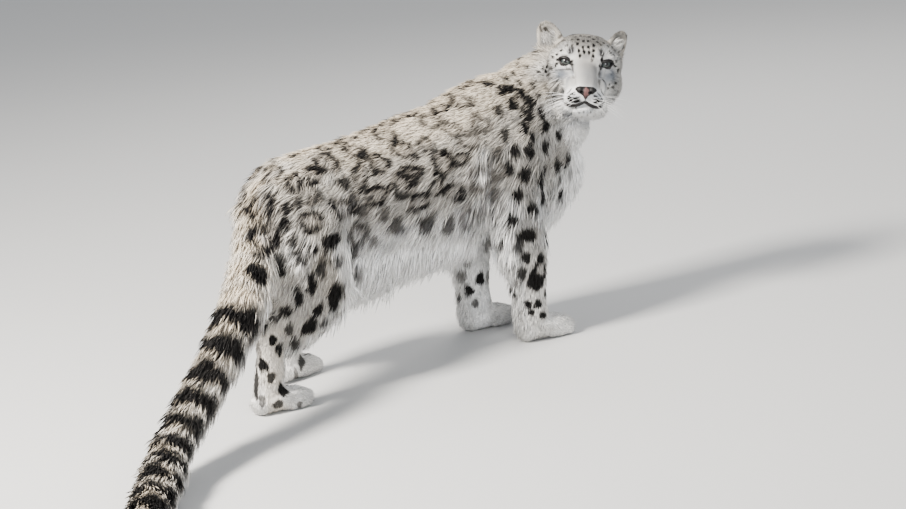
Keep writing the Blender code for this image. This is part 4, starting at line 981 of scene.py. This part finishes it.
def paint(mesh, colours):
    layer = mesh.color_attributes.new("tint", "FLOAT_COLOR", "POINT")
    data = np.ones((len(colours), 4), dtype=np.float32)
    data[:, :3] = np.clip(colours, 0, 1)
    layer.data.foreach_set("color", data.ravel())


def placed(piece, finish, slot, *nodes):
    piece.data.transform(Matrix.Translation(carry))
    piece.data.materials.clear()
    piece.data.materials.append(finish)
    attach(piece, "root")
    if nodes:
        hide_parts(*nodes)
    return piece


# Painted shade: the skin under the tufts is painted darker, as it lies in their shade.
shadeUnderTufts = 0.82  # the skin is a shade darker than the tufts over it
paint(skin.data, coatColour(skinPoints, skinNormals) * shadeUnderTufts)
placed(skin, skinFinish, "coat", "head", "neck", "torso", "tail_base", "tail_middle", "tail_tip",
       "leg_fore_right", "leg_fore_left", "leg_hind_right", "leg_hind_left", "ear_right", "ear_left")
print("stage: skin painted")


# An unwrap of the skin's own shape: each part of the animal rolled out on its own strip
# Each strip: its corner, width and height on the sheet.
sheetSet = {"trunk": (0.02, 0.42, 0.56, 0.56), "head": (0.62, 0.62, 0.36, 0.36),
            "tail": (0.02, 0.02, 0.94, 0.14), "leg": (0.02, 0.18, 0.22, 0.22), "legStep": 0.245}
# Sizes on the animal: the trunk's rear end, length and middle height, and the legs' places.
rollSet = {"rear": 0.32, "length": 1.05, "middle": 0.40, "legTop": 0.30, "legAside": 0.10,
           "legs": ((-1, 0.36), (1, 0.34), (-1, -0.27), (1, -0.14)), "headBack": 0.05,
           "headRound": 0.16, "headDrop": 0.03}


def turnShare(a, b):
    return np.arctan2(a, b) / (2 * math.pi) + 0.5


def onSheet(flat, chosen, key, along, around, shift=0.0):
    x, y, width, height = sheetSet[key]
    flat[chosen, 0] = x + shift + width * along[chosen]
    flat[chosen, 1] = y + height * around[chosen]


def unrolled(points):
    flat = np.empty((len(points), 2))
    x, y, z = points.T
    ahead, aside, high = toHead(points).T
    high = high + rollSet["headDrop"]
    k, gap = tailInParts(points)
    onTail = (x < -0.25) & (gap < 0.065) & (y < 0.09)
    onHead = (ahead > -0.11) & (np.abs(aside) < 0.12) & (np.abs(high) < 0.14)
    onLeg = (z < rollSet["legTop"]) & (np.abs(y) > 0.04) & ~onTail & ~onHead
    share = np.clip((x + rollSet["rear"]) / rollSet["length"], 0, 1)
    onSheet(flat, slice(None), "trunk", share, turnShare(y, z - rollSet["middle"]))
    polar = np.arccos(np.clip((ahead + rollSet["headBack"]) / rollSet["headRound"], -1, 1)) / math.pi
    onSheet(flat, onHead, "head", turnShare(aside, high), polar)
    out = points - tailPath[k]
    onSheet(flat, onTail, "tail", tailAlong[k] / tailAlong[-1], turnShare(out[:, 1], out[:, 2]))
    for row, (side, middle) in enumerate(rollSet["legs"]):
        mine = onLeg & (np.sign(y) == side) & ((x > 0.15) == (row < 2))
        spin = turnShare(y - side * rollSet["legAside"], x - middle)
        onSheet(flat, mine, "leg", spin, z / rollSet["legTop"], sheetSet["legStep"] * row)
    return flat


def tailInParts(points):
    found = [tailPlace(points[i:i + 50000]) for i in range(0, len(points), 50000)]
    return np.concatenate([f[0] for f in found]), np.concatenate([f[1] for f in found])


# Tufts of the coat
# The tufts' "shade" is painted light: each tuft is darker at its root, painted shade among the tufts, and
# lighter at its tip, a painted highlight.
tuftSet = {"patch": 0.003, "spans": {"short": (0.0, 0.48), "long": (0.0, 0.36, 0.70)},
           "perPiece": 190000, "section": ((1.0, 0.0), (-0.55, 0.42), (-0.55, -0.42)),
           "taper": {2: (1.0, 0.72), 3: (1.0, 0.86, 0.62)}, "thick": 0.55, "sink": 0.0015,
           "shade": {2: (0.72, 1.02, 1.20), 3: (0.70, 0.95, 1.08, 1.20)},
           "lowest": 0.0022, "floor": 0.0004,
           "length": (0.72, 1.22), "width": (0.75, 1.25), "rise": (0.55, 1.35), "stray": 0.10,
           "sway": 0.16, "tone": (0.78, 1.24), "ticked": 0.34, "crown": 0.30, "cheek": 0.15}
areas = triangleAreas(skinPoints, skinTriangles)
middles = skinPoints[skinTriangles].mean(axis=1)
middleInfo = guided(middles)
middleHead = toHead(middles)
onHeadTriangles = (middleHead[:, 0] > -0.075) & (np.abs(middleHead[:, 1]) < 0.115) \
    & (middleHead[:, 2] > -0.135) & (middleHead[:, 2] < 0.11)


bareSet = {"noseHalf": 0.0215, "noseLow": -0.0745, "noseHigh": -0.050, "noseFrom": 0.052,
           "sole": 0.004, "lids": 1.42}


def bareHere(points):
    # No fur on the nose, inside the lids' openings or right under the soles.
    local = toHead(points)
    ahead, aside, high = local.T
    bare = (np.abs(aside) < bareSet["noseHalf"]) & (ahead > bareSet["noseFrom"])
    bare &= (high > bareSet["noseLow"]) & (high < bareSet["noseHigh"])
    bare |= points[:, 2] < bareSet["sole"]
    for side in (-1, 1):
        q, x, y = inOpening(local, side)
        bare |= (x * x + y * y < bareSet["lids"]) & (q[:, 0] > 0)
    return bare


def rootsOn(chosen, count, weight):
    weight = np.where(chosen, areas * weight, 0)
    picks = dice.choice(len(skinTriangles), count, p=weight / weight.sum())
    r = np.sqrt(dice.random(count))[:, None]
    s = dice.random(count)[:, None]
    corners = skinTriangles[picks]
    mix = (1 - r, r * (1 - s), r * s)
    points = sum(skinPoints[corners[:, k]] * mix[k] for k in range(3))
    normals = unit(sum(skinNormals[corners[:, k]] * mix[k] for k in range(3)))
    keep = ~bareHere(points)
    return points[keep], normals[keep]


def tuftLine(points, normals, tangent, lie, across, length, rise, sway, spans):
    # Each tuft leaves the skin along its tangent, lifts, then falls to the coat's lie.
    place = points - normals * tuftSet["sink"]
    line = []
    last = 0.0
    for k, t in enumerate((*spans, 1.0)):
        if k:
            mid = (t + last) / 2
            slope = rise * (1.25 - 1.1 * mid)
            way = unit(tangent * (1 - 0.45 * mid) + lie * 0.45 * mid + normals * slope
                       + across * sway * mid)
            place = place + way * length * (t - last)
            place[:, 2] = np.maximum(place[:, 2], tuftSet["lowest"])
            last = t
        line.append(place)
    return line


def tuftCloud(line, across, normals, width):
    # Three-sided rings that narrow along the line, and one point at its tip.
    steps = len(line) - 1
    verts = []
    for k in range(steps):
        size = width * tuftSet["taper"][steps][k] / 2
        for a, b in tuftSet["section"]:
            verts.append(line[k] + across * size * a + normals * size * b * tuftSet["thick"] * 2)
    verts.append(line[-1])
    cloud = np.stack(verts, axis=1)
    cloud[:, :, 2] = np.maximum(cloud[:, :, 2], tuftSet["floor"])
    return cloud


def tuftFaces(steps):
    faces = []
    for k in range(steps - 1):
        for j in range(3):
            i = (j + 1) % 3
            faces.append((3 * k + j, 3 * k + i, 3 * k + 3 + i))
            faces.append((3 * k + j, 3 * k + 3 + i, 3 * k + 3 + j))
    base = 3 * (steps - 1)
    for j in range(3):
        faces.append((base + j, base + (j + 1) % 3, 3 * steps))
    return np.array(faces)


def tufts(name, chosen, kind, count, grow, clump):
    points, normals = rootsOn(chosen, int(count * thinner), density)
    info = guided(points)
    n = len(points)
    lie = unit(info[:, :3] + dice.normal(0, tuftSet["stray"], (n, 3)))
    tangent = unit(lie - normals * (lie * normals).sum(axis=1, keepdims=True))
    across = np.cross(normals, tangent)
    length = (info[:, 3] * dice.uniform(*tuftSet["length"], n) * grow)[:, None]
    nearEnd = tailInParts(points)
    endShare = smoothStep(tailAlong[-1] - 0.13, tailAlong[-1] - 0.02, tailAlong[nearEnd[0]])
    length = length * np.where(nearEnd[1] < 0.06, 1 - 0.72 * endShare, 1)[:, None]
    width = (info[:, 4] * dice.uniform(*tuftSet["width"], n))[:, None]
    rise = (info[:, 5] * dice.uniform(*tuftSet["rise"], n))[:, None]
    sway = dice.normal(0, tuftSet["sway"], n)[:, None]
    if clump:
        cells = np.floor(points / clump)
        key = np.sin(cells @ np.array((127.1, 311.7, 74.7))) * 43758.5453
        shared = (key - np.floor(key) - 0.5)[:, None]
        sway = sway * 0.5 + shared * 0.55
        rise = rise * (1 + 0.5 * shared)
        length = length * (1 + 0.25 * shared)
    tone = dice.uniform(*tuftSet["tone"], n)
    inHead = toHead(points)
    aside = np.abs(inHead[:, 1])
    crown = smoothStep(0.00, 0.05, inHead[:, 2]) * (inHead[:, 0] > -0.16) * (aside < 0.12)
    cheek = smoothStep(0.03, 0.07, aside) * (inHead[:, 0] > -0.10) * (aside < 0.12)
    ticked = dice.random(n) < tuftSet["crown"] * crown + tuftSet["cheek"] * cheek
    tone = np.where(ticked, tone * tuftSet["ticked"], tone)[:, None, None]
    line = tuftLine(points, normals, tangent, lie, across, length, rise, sway, tuftSet["spans"][kind])
    cloud = tuftCloud(line, across, normals, width)
    steps = len(line) - 1
    per = 3 * steps + 1
    faces = tuftFaces(steps)
    # Painted light along each tuft: painted shade at the root, painted highlight at the tip.
    shade = np.repeat(tuftSet["shade"][steps], [3] * steps + [1])
    # The markings are read at each height of the tuft, so that they stay crisp outside.
    heights = [(line[k] * 0.6 + line[k + 1] * 0.4) for k in range(steps)] + [line[-1]]
    colour = np.stack([coatColour(h, normals, info) for h in heights], axis=1)
    colour = colour[:, np.repeat(np.arange(steps + 1), [3] * steps + [1])]
    colours = np.clip(colour * tone * shade[None, :, None], 0, 1)
    flat = unrolled(points)
    patch = tuftSet["patch"]
    spread = np.stack([np.linspace(-0.5, 0.5, per) * 0.2, np.linspace(-0.5, 0.5, per)], axis=1)
    spread[:, 0] += np.tile((-0.4, 0.4, 0.0), per)[:per]
    uv = flat[:, None, :] + spread[None] * patch
    split = max(1, math.ceil(n * len(faces) / tuftSet["perPiece"]))
    order = np.argsort(points[:, 0])
    for piece, members in enumerate(np.array_split(order, split)):
        furMesh(f"{name}{piece + 1}", cloud[members], faces, colours[members], uv[members])
    print("tufts", name, n, n * len(faces))
    return n * len(faces)


def furMesh(name, verts, faces, colours, uv):
    n, per = verts.shape[:2]
    mesh = bpy.data.meshes.new(name)
    mesh.vertices.add(n * per)
    mesh.vertices.foreach_set("co", verts.astype(np.float32).ravel())
    corners = (faces[None] + (np.arange(n) * per)[:, None, None]).reshape(-1, 3)
    mesh.loops.add(corners.size)
    mesh.loops.foreach_set("vertex_index", corners.astype(np.int32).ravel())
    mesh.polygons.add(len(corners))
    mesh.polygons.foreach_set("loop_start", np.arange(0, corners.size, 3, dtype=np.int32))
    mesh.update(calc_edges=True)
    mesh.polygons.foreach_set("use_smooth", np.ones(len(corners), dtype=bool))
    paint(mesh, colours.reshape(-1, 3))
    layer = mesh.uv_layers.new(name="OFBake")
    layer.data.foreach_set("uv", uv.reshape(-1, 2)[corners.ravel()].astype(np.float32).ravel())
    piece = bpy.data.objects.new(name, mesh)
    bpy.context.scene.collection.objects.link(piece)
    return placed(piece, furFinish, "coat")


onTailTriangles = np.zeros(len(middles), dtype=bool)
maybe = np.where((middles[:, 0] < -0.25) & (middles[:, 1] < 0.09))[0]
onTailTriangles[maybe] = tailInParts(middles[maybe])[1] < 0.046
longCoat = (middleInfo[:, 3] > 0.047) & ~onTailTriangles & ~onHeadTriangles
shortCoat = ~onTailTriangles & ~onHeadTriangles & ~longCoat
density = middleInfo[:, 6]
thinner = 1.0
# For each piece: the kind of tuft, their number, their growth and the size of a clump.
coatSet = {"bodyFur": ("short", 60000, 0.80, 0.014), "longFur": ("long", 17000, 1.0, 0.020),
           "tailFur": ("long", 15000, 1.0, 0.016), "headFur": ("short", 50000, 1.0, 0.0)}
coatAreas = {"bodyFur": shortCoat, "longFur": longCoat, "tailFur": onTailTriangles,
             "headFur": onHeadTriangles}
total = sum(tufts(name, coatAreas[name], *coatSet[name]) for name in coatSet)
print("stage: coat", total)


# Eyes and lids
eyeTones = {"pupil": (0.004, 0.004, 0.005), "inner": (0.052, 0.060, 0.050),
            "outer": (0.030, 0.041, 0.045), "white": (0.010, 0.008, 0.007)}


def eyeTone(off, polar, j):
    tones = {k: np.array(v) for k, v in eyeTones.items()}
    if polar >= 1.2 or off >= eyeSet["iris"]:
        return tones["white"]
    if off < eyeSet["pupil"]:
        return tones["pupil"]
    streak = 0.5 + 0.25 * math.sin(j * 2.7) + 0.25 * math.sin(j * 1.13 + 2.0)
    t = (off - eyeSet["pupil"]) / (eyeSet["iris"] - eyeSet["pupil"])
    inner = tones["inner"] * (0.60 + 0.8 * streak)
    outer = tones["outer"] * (0.60 + 0.8 * streak)
    tone = inner + (outer - inner) * t
    return tone * (1 - 0.85 * max(0.0, (t - 0.80) / 0.20))


def eyePiece(key, side):
    radius = eyeSet["radius"]
    rings, segments = 46, 72
    verts, colours = [], []
    for i in range(rings):
        polar = math.pi * 0.62 * (i / (rings - 1)) ** 1.25
        off = radius * math.sin(polar)
        ahead = radius * math.cos(polar)
        bulge = max(0.0, 1 - (off / (eyeSet["iris"] * 1.08)) ** 2) * 0.0016 if polar < 1.2 else 0.0
        for j in range(segments):
            a = 2 * math.pi * j / segments
            verts.append((ahead + bulge, off * math.cos(a), off * math.sin(a)))
            colours.append(eyeTone(off, polar, j))
    faces = []
    for i in range(rings - 1):
        for j in range(segments):
            k = (j + 1) % segments
            faces.append((i * segments + j, (i + 1) * segments + j,
                          (i + 1) * segments + k, i * segments + k))
    faces.append(tuple((rings - 1) * segments + j for j in range(segments))[::-1])
    piece = meshFrom(key, [(verts, faces)])
    paint(piece.data, np.array(colours))
    # Each ball looks out through the middle of its lids.
    centre, turn = eyeFrame(side)
    piece.data.transform(head @ Matrix.Translation(Vector(centre)) @ Matrix(turn).to_4x4())
    return placed(smoothed(piece), eyeFinish, "eye", key)


def lidPoints(side, out, grow, count):
    centre, turn = eyeFrame(side)
    c, s = math.cos(eyeSet["slant"]), math.sin(eyeSet["slant"])
    points = []
    for k in range(count):
        a = 2 * math.pi * k / count
        x = math.cos(a) * (eyeSet["width"] / 2 + grow)
        y = math.sin(a) * (eyeSet["height"] / 2 + grow)
        y *= 1 - 0.35 * abs(math.cos(a)) ** 3
        if x < 0:
            y -= 0.0035 * (abs(math.cos(a)) ** 4)
        across, rise = x * c - y * s, x * s + y * c
        reach = eyeSet["radius"] + out
        depth = math.sqrt(max(reach * reach - across * across - rise * rise, 1e-6))
        points.append(head @ (Vector(centre) + Matrix(turn) @ Vector((depth, side * across, rise))))
    return points


def tubeAlong(points, radii, sides=8, closed=False):
    count = len(points)
    verts, faces = [], []
    previous = None
    for k, point in enumerate(points):
        ahead = points[(k + 1) % count] if closed else points[min(k + 1, count - 1)]
        behind = points[k - 1] if closed or k else points[0]
        tangent = (ahead - behind).normalized()
        if previous is None:
            previous = tangent.orthogonal().normalized()
        first = (previous - tangent * tangent.dot(previous)).normalized()
        previous = first
        second = tangent.cross(first)
        for i in range(sides):
            a = 2 * math.pi * i / sides
            verts.append(point + (first * math.cos(a) + second * math.sin(a)) * radii[k])
    spans = count if closed else count - 1
    for k in range(spans):
        j = (k + 1) % count
        for i in range(sides):
            n = (i + 1) % sides
            faces.append((k * sides + i, k * sides + n, j * sides + n, j * sides + i))
    if not closed:
        faces.append(tuple(range(sides))[::-1])
        faces.append(tuple((count - 1) * sides + i for i in range(sides)))
    return verts, faces


for key, side in (("eye_right", -1), ("eye_left", 1)):
    eyePiece(key, side)
lidSet = {"out": 0.0020, "grow": 0.0012, "radius": 0.0021, "upper": 0.0022, "count": 40}
lidForms = []
for side in (-1, 1):
    count = lidSet["count"]
    points = lidPoints(side, lidSet["out"], lidSet["grow"], count)
    radii = [lidSet["radius"] + lidSet["upper"] * max(0, math.sin(2 * math.pi * k / count))
             for k in range(count)]
    lidForms.append(tubeAlong(points, radii, closed=True))
lids = smoothed(meshFrom("lidRims", lidForms))
placed(lids, rimFinish, "coat")


# Nose, lips, whiskers, claws and the hair in the ears
noseSet = {
    "balls": (((0.0670, 0, -0.0600), (0.0090, 0.0245, 0.0088), 40, 28),
              ((0.0700, 0, -0.0640), (0.0085, 0.0130, 0.0110), 40, 28),
              ((0.0690, 0, -0.0730), (0.0060, 0.0050, 0.0080), 24, 16)),
    "wing": ((0.0685, 0.0130, -0.0610), (0.0098, 0.0085, 0.0085)),
    "nostril": ((0.0785, 0.0105, -0.0655), (0.0075, 0.0040, 0.0030)),
    "slit": ((0.0740, 0.0165, -0.0690), (0.0080, 0.0050, 0.0016)),
    "groove": ((0.0795, 0, -0.0700), (0.0030, 0.0007, 0.0090)),
    "voxel": 0.0008, "rounds": 4, "pink": (0.115, 0.054, 0.051), "black": (0.006, 0.005, 0.005)}


def sideBall(side, place, radii):
    return ballForm((place[0], side * place[1], place[2]), radii, head)


def nosePiece():
    forms = [ballForm(place, radii, head, *mesh) for place, radii, *mesh in noseSet["balls"]]
    forms += [sideBall(side, *noseSet["wing"]) for side in (-1, 1)]
    nose = fused("nose", forms, noseSet["voxel"], noseSet["rounds"])
    for side in (-1, 1):
        cutBy(nose, sideBall(side, *noseSet["nostril"]))
        cutBy(nose, sideBall(side, *noseSet["slit"]))
    cutBy(nose, ballForm(*noseSet["groove"], head))
    points = arrayOf(nose.data.vertices, "co")
    local = toHead(points)
    pink, black = (np.array(noseSet[k]) for k in ("pink", "black"))
    edge = np.abs(local[:, 1]) / 0.0070 + np.maximum(local[:, 2] + 0.0600, 0) / 0.008
    low = smoothStep(-0.0700, -0.0760, local[:, 2])
    t = np.clip(smoothStep(0.55, 1.05, edge + 0.12 * np.sin(local[:, 1] * 900)) + low * 0.8, 0, 1)
    # The nostrils and their rims are painted black. The rims are the nose's own dark leather, and the
    # openings carry painted shade.
    hole = np.zeros(len(local))
    for side in (-1, 1):
        gap = np.hypot((local[:, 1] - side * 0.0115) / 0.0075, (local[:, 2] + 0.0665) / 0.0048)
        hole = np.maximum(hole, 1 - smoothStep(0.75, 1.25, gap))
    t = np.maximum(t, hole)
    paint(nose.data, pink + (black - pink) * t[:, None])
    return placed(smoothed(nose), noseFinish, "coat")


def onFace(f, s, u, sink=0.0):
    middle = head @ Vector((-0.010, 0, -0.080))
    out = ((head @ Vector((f, s, u))) - middle).normalized()
    place, normal = skinTree.ray_cast(middle + out * 0.095, -out)[:2]
    return place - out * sink, normal


# Each lip: side, drop below the line, share of the thickness.
lipSet = {
    "line": ((0.076, 0.000, -0.0870), (0.074, 0.006, -0.0900), (0.069, 0.014, -0.0935),
             (0.060, 0.023, -0.0962), (0.048, 0.031, -0.0968), (0.034, 0.037, -0.0945),
             (0.020, 0.042, -0.0900)),
    "middle": ((0.080, 0, -0.0740), (0.079, 0, -0.0780), (0.077, 0, -0.0820), (0.075, 0, -0.0855)),
    "lips": ((-1, 0, 1), (1, 0, 1), (-1, 0.0036, 0.7), (1, 0.0036, 0.7)),
    "thin": 0.0023, "swell": 0.0026, "middleRadius": 0.0011, "lift": 0.0002}


def lipsPiece():
    forms = []
    for side, drop, share in lipSet["lips"]:
        values = curveValues([(f - drop, side * s, u - drop) for f, s, u in lipSet["line"]], 4)
        points = [onFace(*v, sink=-lipSet["lift"])[0] for v in values]
        points = [Vector(sum((np.array(points[min(max(k + d, 0), len(points) - 1)])
                              for d in (-1, 0, 1)), np.zeros(3)) / 3) for k in range(len(points))]
        n = len(points)
        radii = [share * (lipSet["thin"] + lipSet["swell"] * math.sin(math.pi * k / (n - 1)))
                 for k in range(n)]
        radii[-4:] = [0.0024 * share, 0.0017, 0.0011, 0.0005]
        forms.append(tubeAlong(points, radii))
    points = [onFace(*v, sink=-lipSet["lift"])[0] for v in lipSet["middle"]]
    forms.append(tubeAlong(points, [lipSet["middleRadius"]] * len(points)))
    return placed(smoothed(meshFrom("lips", forms)), rimFinish, "coat")


whiskerSet = {"radius": 0.00042, "length": (0.055, 0.088), "browRadius": 0.0003, "browLength": 0.034}


def whiskerPieces():
    forms = []
    rootsOnPad = [(0.055 - 0.011 * c, 0.022 + 0.0055 * c, -0.0745 - 0.0050 * r)
                  for r in range(4) for c in range(4)]
    for side in (-1, 1):
        for k, (f, s, u) in enumerate(rootsOnPad):
            root = onFace(f, side * s, u, 0.001)[0]
            length = dice.uniform(*whiskerSet["length"])
            out = np.array((0.15 - 0.12 * (k % 4), side * (0.80 + 0.1 * (k % 4)), 0.05 - 0.16 * (k // 4)))
            way = Vector(unit(out + dice.normal(0, 0.09, 3)) @ headTurn.T)
            points, radii = [root], [whiskerSet["radius"]]
            for j in range(9):
                way = (way + Vector((0, 0, -0.05)) - Vector(headTurn[:, 0]) * 0.05).normalized()
                points.append(points[-1] + way * length / 9)
                radii.append(whiskerSet["radius"] * (1 - (j + 1) / 9.6))
            forms.append(tubeAlong(points, radii, sides=4))
        for k in range(3):
            start = Vector(fromHead((0.10, side * (0.034 + 0.006 * k), 0.021)))
            root = skinTree.ray_cast(start, -Vector(headTurn[:, 0]))[0]
            way = Vector(np.array((0.35, side * (0.25 + 0.2 * k), 0.9)) @ headTurn.T).normalized()
            points = [root + way * (whiskerSet["browLength"] * j / 6) + Vector((0, 0, -0.004)) * (j / 6) ** 2
                      for j in range(7)]
            radii = [whiskerSet["browRadius"] * (1 - j / 6.6) for j in range(7)]
            forms.append(tubeAlong(points, radii, sides=4))
    return placed(meshFrom("whiskers", forms), whiskerFinish, "coat")


clawSet = {"length": 0.016, "drop": 0.010, "back": 0.006, "lift": 0.004, "steps": (0, 0.35, 0.7, 1.0),
           "radii": (0.0026, 0.0022, 0.0014, 0.0003)}


def clawPiece():
    forms = []
    for tip in toeTips:
        points = [tip + Vector((clawSet["length"] * t - clawSet["back"], 0,
                                clawSet["lift"] - clawSet["drop"] * t * t)) for t in clawSet["steps"]]
        forms.append(tubeAlong(points, clawSet["radii"]))
    return placed(smoothed(meshFrom("claws", forms)), clawFinish, "coat")


nosePiece()
lipsPiece()
whiskerPieces()
clawPiece()


hairSet = {"count": 170, "length": (0.012, 0.024), "tone": (0.22, 0.90), "radii": (0.0007, 0.0005, 0.0001)}


def earHair():
    # Long pale hair that stands in the cup of each ear.
    forms = []
    for key in ("right", "left"):
        ear = earFrame(key)
        for _ in range(hairSet["count"]):
            y = dice.uniform(-0.019, 0.019)
            z = dice.uniform(0.000, 0.030)
            root = ear @ Vector((-0.001, y, z))
            inward = -1 if y > 0 else 1
            way = Vector((0.55, inward * dice.uniform(0.1, 0.8) * 0.6, dice.uniform(0.5, 1.2))).normalized()
            way = (ear.to_3x3() @ way).normalized()
            length = dice.uniform(*hairSet["length"])
            points = [root, root + way * length * 0.5, root + way * length]
            forms.append(tubeAlong(points, hairSet["radii"], sides=3))
    piece = meshFrom("earHair", forms)
    count = len(piece.data.vertices)
    tone = np.repeat(dice.uniform(*hairSet["tone"], (count // 9, 1)), 9, axis=0)
    paint(piece.data, np.hstack([tone, tone * 0.98, tone * 0.94]))
    layer = piece.data.uv_layers.new(name="OFBake")
    roots = arrayOf(piece.data.vertices, "co").reshape(-1, 9, 3)[:, 0]
    flat = np.repeat(unrolled(roots), 9, axis=0)
    flat += np.tile(np.linspace(-0.0015, 0.0015, 9), len(roots))[:, None]
    corners = np.empty(len(piece.data.loops), dtype=np.int32)
    piece.data.loops.foreach_get("vertex_index", corners)
    layer.data.foreach_set("uv", flat[corners].astype(np.float32).ravel())
    return placed(piece, furFinish, "coat")


earHair()
print("stage: head details")

# Stage, light and camera
floorSet = {"half": 40, "drop": 0.0005}
corners = [Vector((x * floorSet["half"], y * floorSet["half"], -floorSet["drop"]))
           for x, y in ((-1, -1), (1, -1), (1, 1), (-1, 1))]
floorMesh = meshFrom("floor", [(corners, [(0, 1, 2, 3)])])
floorMesh.data.materials.append(floorFinish)
world = bpy.data.worlds.new("studio")
bpy.context.scene.world = world
world.use_nodes = True
sky = world.node_tree.nodes["Background"]
skySet = {"Color": (0.80, 0.84, 0.90, 1), "Strength": 0.70}
for key, value in skySet.items():
    sky.inputs[key].default_value = value
# Each light: name, place, size, power, colour.
lightSet = (
    ("key", (-2.6, 0.2, 3.1), 1.0, 730, (1.0, 0.95, 0.88)),
    ("front", (-1.4, -4.6, 2.2), 2.2, 190, (0.98, 0.99, 1.0)),
    ("rim", (2.6, 2.4, 2.6), 2.0, 60, (1.0, 0.97, 0.93)),
)
lightAim = Vector((0.3, 0.2, 0.35))
for name, place, size, power, colour in lightSet:
    lamp = bpy.data.objects.new(name, bpy.data.lights.new(name, "AREA"))
    lamp.data.size = size
    lamp.data.energy = power
    lamp.data.color = colour
    lamp.location = place
    lamp.rotation_euler = (lightAim - Vector(place)).to_track_quat("-Z", "Y").to_euler()
    bpy.context.scene.collection.objects.link(lamp)

camera = bpy.data.objects.new("camera", bpy.data.cameras.new("camera"))
camera.data.sensor_width = viewSet["sensor"]
camera.data.lens = viewSet["focal"] * viewSet["sensor"] / viewSet["width"]
axes = Matrix((viewAcross, viewRise, viewBack)).transposed().to_4x4()
camera.matrix_world = Matrix.Translation(viewPoint + carry) @ axes
bpy.context.scene.collection.objects.link(camera)
bpy.context.scene.camera = camera
